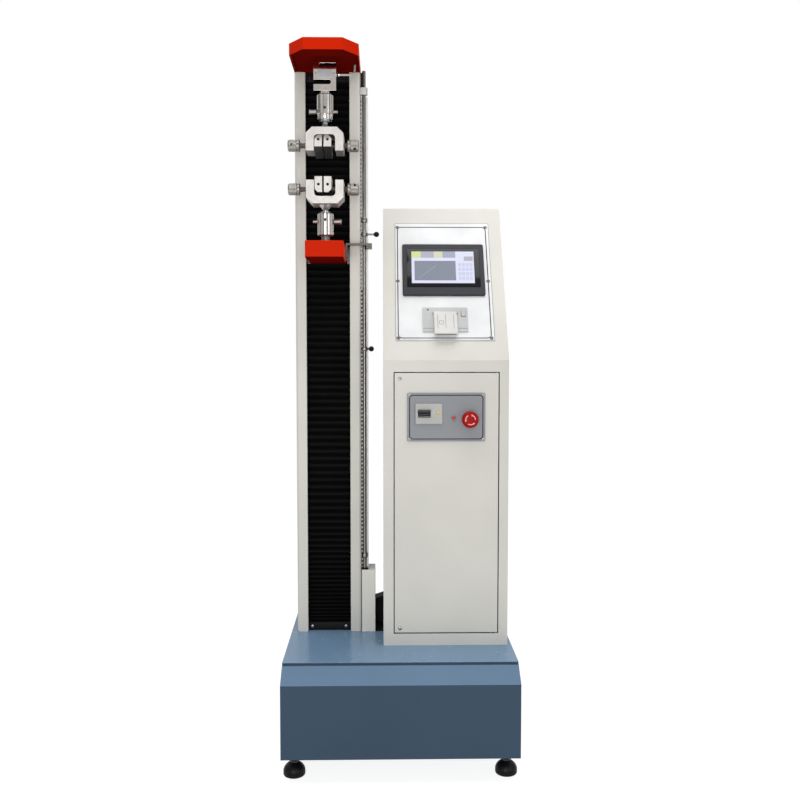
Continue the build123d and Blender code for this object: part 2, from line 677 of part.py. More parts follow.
bracket_z = (BRACKET_TOP - BRACKET_PLATE, BRACKET_TOP)
bracket_sides = about(MOTOR_X, BRACKET_WIDTH)
bracket = block(bracket_sides, about(SCREW_Y, BRACKET_WIDTH), bracket_z)
for side in (-1, 1):
    web_y = SCREW_Y + side * (BRACKET_WIDTH / 2 - BRACKET_WEB / 2)
    bracket += block(bracket_sides, about(web_y, BRACKET_WEB), (bracket_z[0], HOUSING_TOP))
bracket -= rod_z(MOTOR_X, SCREW_Y, bracket_z, MOTOR_SHAFT + 2 * SLIP)
motor_z = (bracket_z[0] - MOTOR_LENGTH, bracket_z[0])
motor = block(about(MOTOR_X, MOTOR_SIZE), about(SCREW_Y, MOTOR_SIZE), motor_z)
motor = chamfer(motor.edges().filter_by(Axis.Z), MOTOR_SIZE / 10)
motor -= rod_z(MOTOR_X, SCREW_Y, (shaft_bottom - RUN, motor_z[1]), MOTOR_SHAFT + 2 * FIT)
PARTS["servo_motor"] = Compound([motor.solid(), bracket.solid()])

# Crosshead: the arm, its carriage on the rails, and the ball nut
arm_sides = about(COLUMN_X, CROSSHEAD_WIDTH)
arm_z = (CROSSHEAD_BOTTOM, CROSSHEAD_TOP_Z)
arm = block(arm_sides, (CROSSHEAD_FRONT, CARRIAGE_FRONT), arm_z)
arm = fillet(arm.faces().sort_by(Axis.Y)[0].edges(), CROSSHEAD_EDGE)
arm -= rod_z(COLUMN_X, SCREW_Y, arm_z, NUT_DIAMETER + 2 * RUN)
PARTS["crosshead_arm"] = arm

carriage_z = about(CROSSHEAD_MIDDLE, CARRIAGE_HEIGHT)
carriage = block(about(COLUMN_X, CARRIAGE_WIDTH), (CARRIAGE_FRONT, CARRIAGE_BACK), carriage_z)
PARTS["crosshead_carriage"] = fillet(carriage.edges().filter_by(Axis.Y), COLUMN_CORNER)

guide_blocks = []
for side in (-1, 1):
    for level in (-1, 1):
        block_x = COLUMN_X + side * RAIL_SPACING / 2
        block_z = about(CROSSHEAD_MIDDLE + level * BLOCK_PITCH / 2, BLOCK_LENGTH)
        rail_slot_y = (COLUMN_BACK - RAIL_HEIGHT - SLIP, COLUMN_BACK)
        guide = block(about(block_x, BLOCK_WIDTH), (CARRIAGE_BACK, COLUMN_BACK - BLOCK_SKIRT), block_z)
        guide -= block(about(block_x, RAIL_WIDTH + 2 * SLIP), rail_slot_y, block_z)
        guide_blocks.append(guide.solid())
ball_nut = rod_z(COLUMN_X, SCREW_Y, (CROSSHEAD_BOTTOM, CROSSHEAD_TOP_Z + NUT_TAIL), NUT_DIAMETER)
nut_flange_z = (CROSSHEAD_BOTTOM - NUT_FLANGE, CROSSHEAD_BOTTOM)
ball_nut += rod_z(COLUMN_X, SCREW_Y, nut_flange_z, NUT_FLANGE_DIAMETER)
ball_nut -= rod_z(COLUMN_X, SCREW_Y, (nut_flange_z[0], CROSSHEAD_TOP_Z + NUT_TAIL), SCREW_DIAMETER + 2 * RUN)
PARTS["guide_blocks_and_nut"] = Compound(guide_blocks + [ball_nut.solid()])

# Striker: a bent strip, its leg on the arm's right side and its hook beside the limit rod
arm_right = arm_sides[1]
striker_back = COLUMN_FRONT - SLIP
striker_y = (striker_back - STRIKER_DEPTH, striker_back)
striker_bottom = CROSSHEAD_TOP_Z + STRIKER_RISE - STRIKER_THICKNESS
striker_z = (striker_bottom, striker_bottom + STRIKER_THICKNESS)
hook_x = (ROD_X + ROD_DIAMETER / 2 + SLIP, ROD_X + ROD_DIAMETER / 2 + SLIP + STRIKER_HOOK_WIDTH)
striker = block((arm_right, hook_x[1]), striker_y, striker_z)
leg_x = (arm_right, arm_right + STRIKER_THICKNESS)
striker += block(leg_x, striker_y, (striker_z[1] - STRIKER_LEG, striker_z[1]))
striker += block(hook_x, (striker_y[0], RULE_Y - SLIP), (striker_z[1] - STRIKER_HOOK_HEIGHT, striker_z[1]))
PARTS["striker_arm"] = striker


def pleated_guard(z):
    """A skin folded in even pleats between two levels, as wide as the column's opening."""
    pleats = round((z[1] - z[0]) / GUARD_PITCH)
    half_pitch = (z[1] - z[0]) / pleats / 2
    front = []
    for fold in range(2 * pleats + 1):
        fold_y = GUARD_FRONT + (fold % 2) * (GUARD_DEPTH - GUARD_SKIN)
        front.append((fold_y, z[0] + fold * half_pitch))
    back = [(fold_y + GUARD_SKIN, fold_z) for fold_y, fold_z in reversed(front)]
    return prism_x(front + back, about(COLUMN_X, GUARD_WIDTH)).solid()


flange_y = (GUARD_FRONT, GUARD_FRONT + GUARD_FLANGE_THICKNESS)
low_flange = block(about(COLUMN_X, GUARD_WIDTH), flange_y, (BASE_TOP, BASE_TOP + GUARD_FLANGE))
high_flange = block(about(COLUMN_X, GUARD_WIDTH), flange_y, (COLUMN_TOP - GUARD_FLANGE, COLUMN_TOP))
lower_guard = pleated_guard((BASE_TOP + GUARD_FLANGE, CROSSHEAD_BOTTOM - RUN))
upper_guard = pleated_guard((CROSSHEAD_TOP_Z + RUN, COLUMN_TOP - GUARD_FLANGE))
PARTS["lower_guard"] = Compound([low_flange.solid(), lower_guard])
PARTS["upper_guard"] = Compound([high_flange.solid(), upper_guard])

# Load cell: an S-shaped block with two slots from opposite sides, and its lead
cell = block(about(COLUMN_X, CELL_WIDTH), about(AXIS_Y, CELL_DEPTH), (CELL_BOTTOM, BEAM_BOTTOM))
for side, slot_z in ((-1, CELL_BOTTOM + CELL_FLANGE), (1, BEAM_BOTTOM - CELL_FLANGE - CELL_SLOT)):
    mouth = COLUMN_X + side * CELL_WIDTH / 2
    end = mouth - side * (CELL_SLOT_LENGTH - CELL_SLOT / 2)
    middle = slot_z + CELL_SLOT / 2
    cell -= block(sorted((mouth, end)), about(AXIS_Y, CELL_DEPTH), (slot_z, slot_z + CELL_SLOT))
    cell -= rod_y(end, about(AXIS_Y, CELL_DEPTH), middle, CELL_SLOT)
cell_right = COLUMN_X + CELL_WIDTH / 2
gland_z = CELL_BOTTOM + CELL_HEIGHT / 2
gland_end = cell_right + CELL_GLAND_LENGTH
cell += rod_x((cell_right, gland_end), AXIS_Y, gland_z, CELL_GLAND_DIAMETER)
PARTS["load_cell"] = cell

lead_route = [(gland_end, AXIS_Y, gland_z)]
lead_route += [(gland_end + x, AXIS_Y + y, gland_z + z) for x, y, z in LEAD_TURNS]
lead_route.append((lead_route[-1][0], lead_route[-1][1] + LEAD_TOP_SHIFT, CAP_CEILING))
lead_path = FilletPolyline(*lead_route, radius=LEAD_BENDS)
lead_end = Plane(origin=lead_route[0], z_dir=(1, 0, 0))
lead = sweep(lead_end * Circle(CELL_LEAD_DIAMETER / 2), path=lead_path)
lead -= block(about(COLUMN_X, COLUMN_WIDTH), about(AXIS_Y, 2 * CAP_REACH), (CAP_CEILING, CAP_TOP))
PARTS["load_cell_lead"] = lead

# Couplings: the upper sleeve hangs from the load cell, the lower one stands on the crosshead
bore = SPIGOT_DIAMETER + 2 * FIT
upper_coupling = rod_z(0, 0, (-COUPLING_NECK, 0), COUPLING_NECK_DIAMETER)
body_bottom = -COUPLING_NECK - COUPLING_BODY
sleeve = rod_z(0, 0, (body_bottom, -COUPLING_NECK), COUPLING_DIAMETER)
upper_coupling += chamfer(sleeve.edges().filter_by(GeomType.CIRCLE), COUPLING_EDGE)
upper_coupling += rod_z(0, 0, (body_bottom - COLLAR_STEP, body_bottom), COLLAR_STEP_DIAMETER)
upper_coupling = Pos(COLUMN_X, AXIS_Y, CELL_BOTTOM) * upper_coupling
upper_coupling -= rod_z(COLUMN_X, AXIS_Y, (COLLAR_BOTTOM, COLLAR_BOTTOM + BORE_DEPTH), bore)
pin_hole = about(COLUMN_X, 2 * COUPLING_DIAMETER)
upper_coupling -= rod_x(pin_hole, AXIS_Y, UPPER_PIN_Z, PIN_DIAMETER + 2 * FIT)
PARTS["upper_coupling"] = upper_coupling

sleeve = rod_z(0, 0, (LOWER_BODY_BOTTOM, LOWER_BODY_TOP), COUPLING_DIAMETER)
lower_coupling = chamfer(sleeve.edges().filter_by(GeomType.CIRCLE), COUPLING_EDGE)
lower_coupling += rod_z(0, 0, (CROSSHEAD_TOP_Z, LOWER_BODY_BOTTOM), COUPLING_NECK_DIAMETER)
lower_coupling = Pos(COLUMN_X, AXIS_Y, 0) * lower_coupling
lower_coupling -= rod_z(COLUMN_X, AXIS_Y, (LOWER_BODY_TOP - BORE_DEPTH, LOWER_BODY_TOP), bore)
lower_coupling -= rod_x(pin_hole, AXIS_Y, LOWER_PIN_Z, PIN_DIAMETER + 2 * FIT)
PARTS["lower_coupling"] = lower_coupling


def cross_pin(head_side, z, sleeve_diameter):
    """A pin through the sleeve, with a thick head against its flank."""
    flank = sleeve_diameter / 2
    head = rod_x((flank + RUN, flank + RUN + PIN_HEAD_LENGTH), 0, 0, PIN_HEAD_DIAMETER)
    head = chamfer(head.edges().filter_by(GeomType.CIRCLE), PIN_HEAD_DIAMETER / 10)
    pin = head + rod_x((-flank - PIN_TAIL, flank + RUN), 0, 0, PIN_DIAMETER)
    return Pos(COLUMN_X, AXIS_Y, z) * Rot(0, 0, 0 if head_side > 0 else 180) * pin


PARTS["upper_cross_pin"] = cross_pin(-1, UPPER_PIN_Z, COUPLING_DIAMETER)
PARTS["lower_cross_pin"] = cross_pin(1, LOWER_PIN_Z, COUPLING_DIAMETER)


def grip_yoke(neck):
    """A yoke with its legs down and the clamping screws' axis at the origin, and its spigot on top."""
    tip = -SCREW_FROM_TIP
    top = YOKE_HEIGHT - SCREW_FROM_TIP
    half = YOKE_WIDTH / 2
    outline = [(-half, tip), (half, tip), (half, top - YOKE_CHAMFER), (half - YOKE_CHAMFER, top)]
    outline += [(YOKE_CHAMFER - half, top), (-half, top - YOKE_CHAMFER)]
    yoke = prism_y(outline, about(0, YOKE_DEPTH))
    slot = block(about(0, YOKE_SLOT), about(0, YOKE_DEPTH), (tip, tip + YOKE_SLOT_HEIGHT))
    yoke -= fillet(slot.edges().filter_by(Axis.Y).group_by(Axis.Z)[-1], YOKE_SLOT_CORNER)
    yoke -= rod_x((-half, half), 0, 0, CLAMP_DIAMETER + 2 * RUN)
    mouth = top + neck
    spigot_radius = SPIGOT_DIAMETER / 2
    spigot = turned(
        [
            (0, top),
            (YOKE_FLARE_DIAMETER / 2, top),
            (YOKE_WAIST_DIAMETER / 2, top + YOKE_FLARE),
            (YOKE_WAIST_DIAMETER / 2, mouth - SPIGOT_RING - SPIGOT_EDGE),
            (spigot_radius, mouth - SPIGOT_RING),
            (spigot_radius, mouth + SPIGOT_ENGAGED),
            (0, mouth + SPIGOT_ENGAGED),
        ]
    )
    yoke += spigot
    return yoke - rod_x((-half, half), 0, mouth + PIN_FROM_MOUTH, PIN_DIAMETER + 2 * FIT)


UPPER_GRIP = Pos(COLUMN_X, AXIS_Y, UPPER_GRIP_Z)
LOWER_GRIP = Pos(COLUMN_X, AXIS_Y, LOWER_GRIP_Z) * Rot(180, 0, 0)
PARTS["upper_yoke"] = UPPER_GRIP * grip_yoke(UPPER_NECK)
PARTS["lower_yoke"] = LOWER_GRIP * grip_yoke(LOWER_NECK)


def grip_jaw(height, reach):
    """A right-hand jaw on the clamping axis, its outer face at X = 0 and its working end down."""
    jaw = block((-JAW_THICKNESS, 0), about(0, JAW_DEPTH), (-reach, height - reach))
    back_edge = jaw.edges().filter_by(Axis.Y).group_by(Axis.Z)[-1].sort_by(Axis.X)[-1]
    jaw = chamfer(back_edge, JAW_CHAMFER)
    jaw -= rod_x((-CLAMP_TIP - RUN, 0), 0, 0, CLAMP_TIP_DIAMETER + 2 * FIT)
    front = -JAW_DEPTH / 2
    hole_z = JAW_HOLE_RISE - reach
    return jaw - rod_y(-JAW_THICKNESS / 2, (front, front + JAW_HOLE_DEPTH), hole_z, JAW_HOLE_DIAMETER)


def clamp_screw():
    """A right-hand clamping screw: a tip in the jaw, a stem through the leg and a knob outside."""
    knob_start = CLAMP_LENGTH
    knob_end = CLAMP_LENGTH + KNOB_LENGTH
    radius = KNOB_DIAMETER / 2
    groove = radius - KNOB_GROOVE
    outline = [
        (0, -CLAMP_TIP),
        (CLAMP_TIP_DIAMETER / 2, -CLAMP_TIP),
        (CLAMP_TIP_DIAMETER / 2, RUN),
        (CLAMP_DIAMETER / 2, RUN),
        (CLAMP_DIAMETER / 2, knob_start),
        (radius - KNOB_EDGE, knob_start),
        (radius, knob_start + KNOB_EDGE),
        (radius, knob_start + KNOB_WAIST),
        (groove, knob_start + KNOB_WAIST + KNOB_GROOVE),
        (groove, knob_start + 2 * KNOB_WAIST - KNOB_GROOVE),
        (radius, knob_start + 2 * KNOB_WAIST),
        (radius, knob_end - KNOB_EDGE),
        (radius - KNOB_EDGE, knob_end),
        (0, knob_end),
    ]
    screw = Rot(0, 90, 0) * turned(outline)
    hole_x = knob_end - (KNOB_LENGTH - 2 * KNOB_WAIST) / 2
    return screw - rod_z(hole_x, 0, (-radius, radius), TOMMY_HOLE)


for level, grip, tilt, height, reach in (
    ("upper", UPPER_GRIP, UPPER_JAW_TILT, UPPER_JAW_HEIGHT, UPPER_JAW_REACH),
    ("lower", LOWER_GRIP, 0.0, LOWER_JAW_HEIGHT, LOWER_JAW_REACH),
):
    for hand, turn in (("left", 180.0), ("right", 0.0)):
        face_x = JAW_OFFSET + (-1 if hand == "left" else 1) * (JAW_GAP / 2 + JAW_THICKNESS)
        seat = grip * Pos(face_x, 0, 0) * Rot(-tilt, 0, 0)
        jaw = grip_jaw(height, reach)
        if hand == "left":
            jaw = mirror(jaw, about=Plane.YZ)
        if level == "lower":
            jaw = mirror(jaw, about=Plane.XZ)
        PARTS[f"{level}_{hand}_jaw"] = seat * jaw
        clamp = Rot(0, 0, turn) * Rot(TOMMY_TURNS[f"{level}_{hand}"], 0, 0) * clamp_screw()
        PARTS[f"{level}_{hand}_clamp"] = grip * Pos(face_x, 0, 0) * clamp

# Limit rod, its stops, guide and rule
rod = rod_z(ROD_X, ROD_Y, (ROD_BOTTOM_Z, ROD_TOP_Z), ROD_DIAMETER)
rod = chamfer(rod.edges().filter_by(GeomType.CIRCLE), ROD_DIAMETER / 8)
rod_pieces = [rod.solid()]
for collar_z in (TOP_COLLAR_Z, LOW_COLLAR_Z):
    collar_limits = (collar_z, collar_z + COLLAR_HEIGHT)
    collar = rod_z(ROD_X, ROD_Y, collar_limits, STOP_DIAMETER)
    collar = chamfer(collar.edges().filter_by(GeomType.CIRCLE), ROD_DIAMETER / 8)
    collar -= rod_z(ROD_X, ROD_Y, collar_limits, ROD_DIAMETER + 2 * FIT)
    rod_pieces.append(collar.solid())
PARTS["limit_rod"] = Compound(rod_pieces)


def rod_stop(z, turn):
    """A clamped stop collar with a ball lever that points at an angle from +X."""
    ring = rod_z(0, 0, (0, STOP_HEIGHT), STOP_DIAMETER)
    ring = chamfer(ring.edges().filter_by(GeomType.CIRCLE), ROD_DIAMETER / 8)
    ring -= rod_z(0, 0, (0, STOP_HEIGHT), ROD_DIAMETER + 2 * FIT)
    seat = ROD_DIAMETER / 2 + RUN
    ring -= rod_x((0, STOP_DIAMETER), 0, STOP_HEIGHT / 2, LEVER_DIAMETER + 2 * FIT)
    lever = rod_x((seat, LEVER_LENGTH), 0, STOP_HEIGHT / 2, LEVER_DIAMETER)
    lever += Pos(LEVER_LENGTH, 0, STOP_HEIGHT / 2) * Sphere(LEVER_BALL / 2)
    place = Pos(ROD_X, ROD_Y, z) * Rot(0, 0, turn)
    return Compound([(place * piece).solid() for piece in (ring, lever)])


PARTS["upper_stop"] = rod_stop(UPPER_STOP_Z, 0.0)
PARTS["lower_stop"] = rod_stop(LOWER_STOP_Z, LOWER_LEVER_TURN)

guide_z = (GUIDE_Z, GUIDE_Z + GUIDE_HEIGHT)
guide_end = ROD_X + ROD_DIAMETER
rod_guide = block((COLUMN_SIDE, guide_end), about(ROD_Y, GUIDE_DEPTH), guide_z)
rod_guide = fillet(rod_guide.edges().filter_by(Axis.Z).group_by(Axis.X)[-1], GUIDE_DEPTH / 3)
PARTS["rod_guide"] = rod_guide - rod_z(ROD_X, ROD_Y, guide_z, ROD_DIAMETER + 2 * FIT)

rule_z = (RULE_BOTTOM_Z, RULE_BOTTOM_Z + RULE_LENGTH)
rule = block((COLUMN_SIDE, COLUMN_SIDE + RULE_WIDTH), (RULE_Y, RULE_Y + RULE_THICKNESS), rule_z)
rule += block((COLUMN_SIDE, COLUMN_SIDE + RULE_THICKNESS), (RULE_Y, RULE_Y + RULE_FLANGE), rule_z)
PARTS["scale_rule"] = rule

# Switch box on the base beside the column, with two switches on its right wall
box_x = (COLUMN_SIDE + BOX_GAP, COLUMN_SIDE + BOX_GAP + BOX_WIDTH)
box_y = (COLUMN_FRONT, COLUMN_FRONT + BOX_DEPTH)
switch_box = block(box_x, box_y, (BASE_TOP, BOX_TOP))
switch_box = fillet(switch_box.edges().filter_by(Axis.Z), BOX_WALL)
inside_x = (box_x[0] + BOX_WALL, box_x[1] - BOX_WALL)
inside_y = (box_y[0] + BOX_WALL, box_y[1] - BOX_WALL)
switch_box -= block(inside_x, inside_y, (BASE_TOP, BOX_TOP - BOX_WALL))
switch_box -= rod_z(ROD_X, ROD_Y, (BOX_TOP - BOX_WALL, BOX_TOP), BOX_ROD_HOLE)
box_solids = [switch_box.solid()]
for place in (0, 1):
    switch_z = BASE_TOP + SWITCH_RISE + place * SWITCH_SPACING
    switch_limits = (switch_z, switch_z + SWITCH_HEIGHT)
    switch_x = (inside_x[1] - SWITCH_WIDTH, inside_x[1])
    switch = block(switch_x, (inside_y[1] - SWITCH_DEPTH, inside_y[1]), switch_limits)
    box_solids.append(switch.solid())
PARTS["switch_box"] = Compound(box_solids)

# Cabinet shell: one folded sheet housing with a door opening and a window in its slope
cabinet_outline = make_face(
    Plane.YZ
    * Polyline(
        (CABINET_FRONT, BASE_TOP),
        (CABINET_REAR, BASE_TOP),
        (CABINET_REAR, CABINET_TOP),
        (CABINET_REAR - CABINET_TOP_DEPTH, CABINET_TOP),
        (CABINET_FRONT, FOLD_Z),
        close=True,
    )
)
cabinet_inside = offset(cabinet_outline, amount=-CABINET_WALL, kind=Kind.INTERSECTION)
inside_width = CABINET_WIDTH - 2 * CABINET_WALL
shell = Pos(CABINET_LEFT, 0, 0) * extrude(cabinet_outline, amount=CABINET_WIDTH, dir=(1, 0, 0))
shell -= Pos(CABINET_LEFT + CABINET_WALL, 0, 0) * extrude(cabinet_inside, amount=inside_width, dir=(1, 0, 0))
shell -= block(
    (DOOR_LEFT - DOOR_GAP, DOOR_RIGHT + DOOR_GAP),
    (CABINET_FRONT, CABINET_FRONT + CABINET_WALL),
    (DOOR_BOTTOM - DOOR_GAP, DOOR_TOP + DOOR_GAP),
)
window_x = about(PANEL_INSET + PANEL_WIDTH / 2, PANEL_WIDTH - 2 * WINDOW_SIDE)
window_y = about(PANEL_RISE + PANEL_LENGTH / 2, PANEL_LENGTH - 2 * WINDOW_END)
shell -= SLOPE * block(window_x, window_y, (-2 * CABINET_WALL, CABINET_WALL))
inlet_x = about(CABINET_LEFT + INLET_LEFT, INLET_WIDTH)
inlet_z = about(BASE_TOP + INLET_RISE, INLET_HEIGHT)
shell -= block(inlet_x, (CABINET_REAR - CABINET_WALL, CABINET_REAR), inlet_z)
pin_reach = HINGE_PIN_LENGTH - LUG_THICKNESS
for door_edge, away in ((DOOR_TOP + DOOR_GAP, 1), (DOOR_BOTTOM - DOOR_GAP, -1)):
    lug_z = sorted((door_edge, door_edge + away * LUG_THICKNESS))
    lug_y = (CABINET_FRONT + CABINET_WALL, CABINET_FRONT + CABINET_WALL + LUG_DEPTH)
    shell += block(about(HINGE_X, LUG_WIDTH), lug_y, lug_z)
    pin_z = sorted((door_edge, door_edge - away * pin_reach))
    shell += rod_z(HINGE_X, HINGE_Y, pin_z, HINGE_PIN)
PARTS["cabinet_shell"] = shell

# Door: a shallow folded pan with a window for the power panel's devices
door_x = (DOOR_LEFT, DOOR_RIGHT)
door_z = (DOOR_BOTTOM, DOOR_TOP)
door = block(door_x, (CABINET_FRONT, CABINET_FRONT + DOOR_RETURN), door_z)
door = fillet(door.faces().sort_by(Axis.Y)[0].edges(), DOOR_FOLD)
door -= block(
    (door_x[0] + DOOR_SHEET, door_x[1] - DOOR_SHEET),
    (CABINET_FRONT + DOOR_SHEET, CABINET_FRONT + DOOR_RETURN),
    (door_z[0] + DOOR_SHEET, door_z[1] - DOOR_SHEET),
)
door -= block(
    (POWER_X + POWER_MARGIN, POWER_X + POWER_WIDTH - POWER_MARGIN),
    (CABINET_FRONT, CABINET_FRONT + DOOR_SHEET),
    (POWER_Z + POWER_MARGIN, POWER_Z + POWER_HEIGHT - POWER_MARGIN),
)
door -= rod_z(HINGE_X, HINGE_Y, door_z, HINGE_PIN + 2 * FIT)
PARTS["cabinet_door"] = door

# Power panel and the devices in it
power_x = (POWER_X, POWER_X + POWER_WIDTH)
power_y = (POWER_FACE, CABINET_FRONT)
power = block(power_x, power_y, (POWER_Z, POWER_Z + POWER_HEIGHT))
power = fillet(power.edges().filter_by(Axis.Y), PLATE_CORNER)
breaker_x = (POWER_X + BREAKER_LEFT, POWER_X + BREAKER_LEFT + BREAKER_WIDTH)
breaker_z = (POWER_Z + BREAKER_RISE, POWER_Z + BREAKER_RISE + BREAKER_HEIGHT)
breaker_front = POWER_FACE - BREAKER_PROUD
power -= block(
    (breaker_x[0] - RUN, breaker_x[1] + RUN), power_y, (breaker_z[0] - RUN, breaker_z[1] + RUN)
)
lamp_x = POWER_X + LAMP_LEFT
lamp_z = POWER_Z + LAMP_RISE
stop_x = POWER_X + STOP_BUTTON_LEFT
stop_z = POWER_Z + STOP_BUTTON_RISE
power -= rod_y(lamp_x, power_y, lamp_z, LAMP_DIAMETER + 2 * FIT)
power -= rod_y(stop_x, power_y, stop_z, STOP_BARREL_DIAMETER + 2 * FIT)
PARTS["power_panel"] = power

breaker = block(breaker_x, (breaker_front, breaker_front + BREAKER_DEPTH), breaker_z)
breaker = fillet(breaker.faces().sort_by(Axis.Y)[0].edges(), BREAKER_EDGE)
flange_x = (breaker_x[0] - 2 * PLATE_CORNER, breaker_x[1] + 2 * PLATE_CORNER)
rear_flange = (CABINET_FRONT, CABINET_FRONT + DOOR_SHEET)
breaker += block(flange_x, rear_flange, (breaker_z[0], breaker_z[1]))
toggle_middle = (breaker_z[0] + breaker_z[1]) / 2
toggle_x = (breaker_x[0] + TOGGLE_LEFT, breaker_x[0] + TOGGLE_LEFT + TOGGLE_WIDTH)
toggle_y = breaker_front + TOGGLE_HUB / 2
toggle_bay = (breaker_front, breaker_front + TOGGLE_HUB + SLIP)
breaker -= block(toggle_x, toggle_bay, about(toggle_middle, TOGGLE_SLOT))
button_x = breaker_x[0] + TEST_BUTTON_LEFT
button_z = breaker_z[0] + TEST_BUTTON_RISE
button_seat = (breaker_front, breaker_front + TEST_BUTTON_SEAT)
breaker -= rod_y(button_x, button_seat, button_z, TEST_BUTTON + 2 * FIT)
axle_x = (toggle_x[0] - COVER_PIN, toggle_x[1] + COVER_PIN)
breaker -= rod_x(axle_x, toggle_y, toggle_middle, COVER_PIN + 2 * FIT)
PARTS["circuit_breaker"] = breaker

toggle = rod_x((toggle_x[0] + RUN, toggle_x[1] - RUN), 0, 0, TOGGLE_HUB - 2 * RUN)
lever_y = (-TOGGLE_HUB / 2 - TOGGLE_LEVER, 0)
lever = block((toggle_x[0] + RUN, toggle_x[1] - RUN), lever_y, about(0, TOGGLE_THICKNESS))
lever = fillet(lever.edges().filter_by(Axis.X).group_by(Axis.Y)[0], TOGGLE_THICKNESS / 3)
toggle += lever
toggle += rod_x((axle_x[0] + RUN, axle_x[1] - RUN), 0, 0, COVER_PIN)
PARTS["breaker_toggle"] = Pos(0, toggle_y, toggle_middle) * Rot(-TOGGLE_TILT, 0, 0) * toggle

test_y = (breaker_front - TEST_BUTTON_PROUD, breaker_front + TEST_BUTTON_SEAT - 2 * TEST_BUTTON_PROUD)
test_button = rod_y(button_x, test_y, button_z, TEST_BUTTON)
PARTS["breaker_test_button"] = fillet(test_button.edges().group_by(Axis.Y)[0], TEST_BUTTON / 8)

lamp = rod_y(lamp_x, (POWER_FACE, POWER_FACE + LAMP_BODY), lamp_z, LAMP_DIAMETER)
lamp_rim = rod_y(lamp_x, (POWER_FACE - LAMP_PROUD, POWER_FACE), lamp_z, LAMP_RIM)
PARTS["indicator_lamp"] = lamp + fillet(lamp_rim.edges().group_by(Axis.Y)[0], LAMP_PROUD / 2)

stop_face = POWER_FACE - STOP_BASE
stop_base = rod_y(stop_x, (stop_face, POWER_FACE), stop_z, STOP_BASE_DIAMETER)
stop_base = chamfer(stop_base.edges().group_by(Axis.Y)[0], STOP_BASE / 5)
barrel_end = CABINET_FRONT + DOOR_SHEET + RUN
stop_base += rod_y(stop_x, (POWER_FACE, barrel_end), stop_z, STOP_BARREL_DIAMETER)
contact_y = (barrel_end, barrel_end + CONTACT_BLOCK_DEPTH)
stop_base += block(about(stop_x, CONTACT_BLOCK), contact_y, about(stop_z, CONTACT_BLOCK))
stem_end = barrel_end + STOP_TRAVEL_GAP
stop_base -= rod_y(stop_x, (stop_face, stem_end + STOP_TRAVEL_GAP), stop_z, STOP_STEM_DIAMETER + 2 * FIT)
PARTS["stop_button_base"] = stop_base

cap_back = stop_face - STOP_TRAVEL_GAP
PARTS["stop_button_stem"] = rod_y(stop_x, (cap_back, stem_end), stop_z, STOP_STEM_DIAMETER)
mushroom = rod_y(stop_x, (cap_back - STOP_CAP, cap_back), stop_z, STOP_BUTTON_DIAMETER)
front_rim = mushroom.edges().filter_by(GeomType.CIRCLE).group_by(Axis.Y)[0]
PARTS["stop_button_head"] = fillet(front_rim, STOP_CAP_EDGE)

# Slanted panel, touch screen and printer, laid out in the slope's own frame
screen_x = (SCREEN_SIDE, SCREEN_SIDE + SCREEN_WIDTH)
screen_y = (SCREEN_RISE, SCREEN_RISE + SCREEN_HEIGHT)
body_x = grown(screen_x, -SCREEN_RIM)
body_y = grown(screen_y, -SCREEN_RIM)
printer_x = (PRINTER_LEFT, PRINTER_LEFT + PRINTER_WIDTH)
printer_y = (PRINTER_RISE, PRINTER_RISE + PRINTER_HEIGHT)
bay_x = grown(printer_x, -PRINTER_RIM)
bay_y = grown(printer_y, -PRINTER_RIM)
sheet_z = (0, PANEL_SHEET)

panel = Pos(PANEL_INSET, PANEL_RISE, 0) * rounded_plate(PANEL_WIDTH, PANEL_LENGTH, PANEL_SHEET, PLATE_CORNER)
panel -= block(grown(body_x, RUN), grown(body_y, RUN), sheet_z)
panel -= block(grown(bay_x, RUN), grown(bay_y, RUN), sheet_z)
PARTS["control_panel"] = SLOPE * panel

bezel_top = PANEL_SHEET + SCREEN_BEZEL
housing = Pos(SCREEN_SIDE, SCREEN_RISE, PANEL_SHEET) * rounded_plate(
    SCREEN_WIDTH, SCREEN_HEIGHT, SCREEN_BEZEL, SCREEN_CORNER
)
housing = chamfer(housing.edges().group_by(Axis.Z)[-1], SCREEN_EDGE)
housing += block(body_x, body_y, (PANEL_SHEET - SCREEN_BODY_DEPTH, PANEL_SHEET))
glass_x = grown(screen_x, -GLASS_SIDE)
glass_y = (SCREEN_RISE + GLASS_RISE, SCREEN_RISE + GLASS_RISE + GLASS_HEIGHT)
glass_z = (bezel_top - GLASS_THICKNESS, bezel_top)
housing -= block(glass_x, glass_y, glass_z)
PARTS["screen_housing"] = SLOPE * housing
PARTS["screen_glass"] = SLOPE * block(grown(glass_x, -RUN / 2), grown(glass_y, -RUN / 2), glass_z)

plate_top = PANEL_SHEET + PRINTER_PLATE
hinge_v = PRINTER_RISE + COVER_HINGE_RISE
hinge_w = plate_top + COVER_NOSE + RUN
cover_x = about(sum(printer_x) / 2, COVER_WIDTH)
bay_mouth = (hinge_v - COVER_NOSE - COVER_BAY_LENGTH, hinge_v - COVER_NOSE)
printer = Pos(PRINTER_LEFT, PRINTER_RISE, PANEL_SHEET) * rounded_plate(
    PRINTER_WIDTH, PRINTER_HEIGHT, PRINTER_PLATE, PRINTER_CORNER
)
printer += block(bay_x, bay_y, (PANEL_SHEET - PRINTER_BODY_DEPTH, PANEL_SHEET))
mouth_x = grown(cover_x, -COVER_WALL)
printer -= block(mouth_x, bay_mouth, (PANEL_SHEET - PRINTER_BODY_DEPTH + PRINTER_WALL, plate_top))
ear_w = (plate_top, hinge_w + COVER_NOSE)
for side in (0, 1):
    ear_x = sorted((cover_x[side] - RUN + 2 * RUN * side, cover_x[side] + (2 * side - 1) * (COVER_EAR + RUN)))
    printer += block(ear_x, about(hinge_v, 2 * COVER_NOSE + 2 * RUN), ear_w)
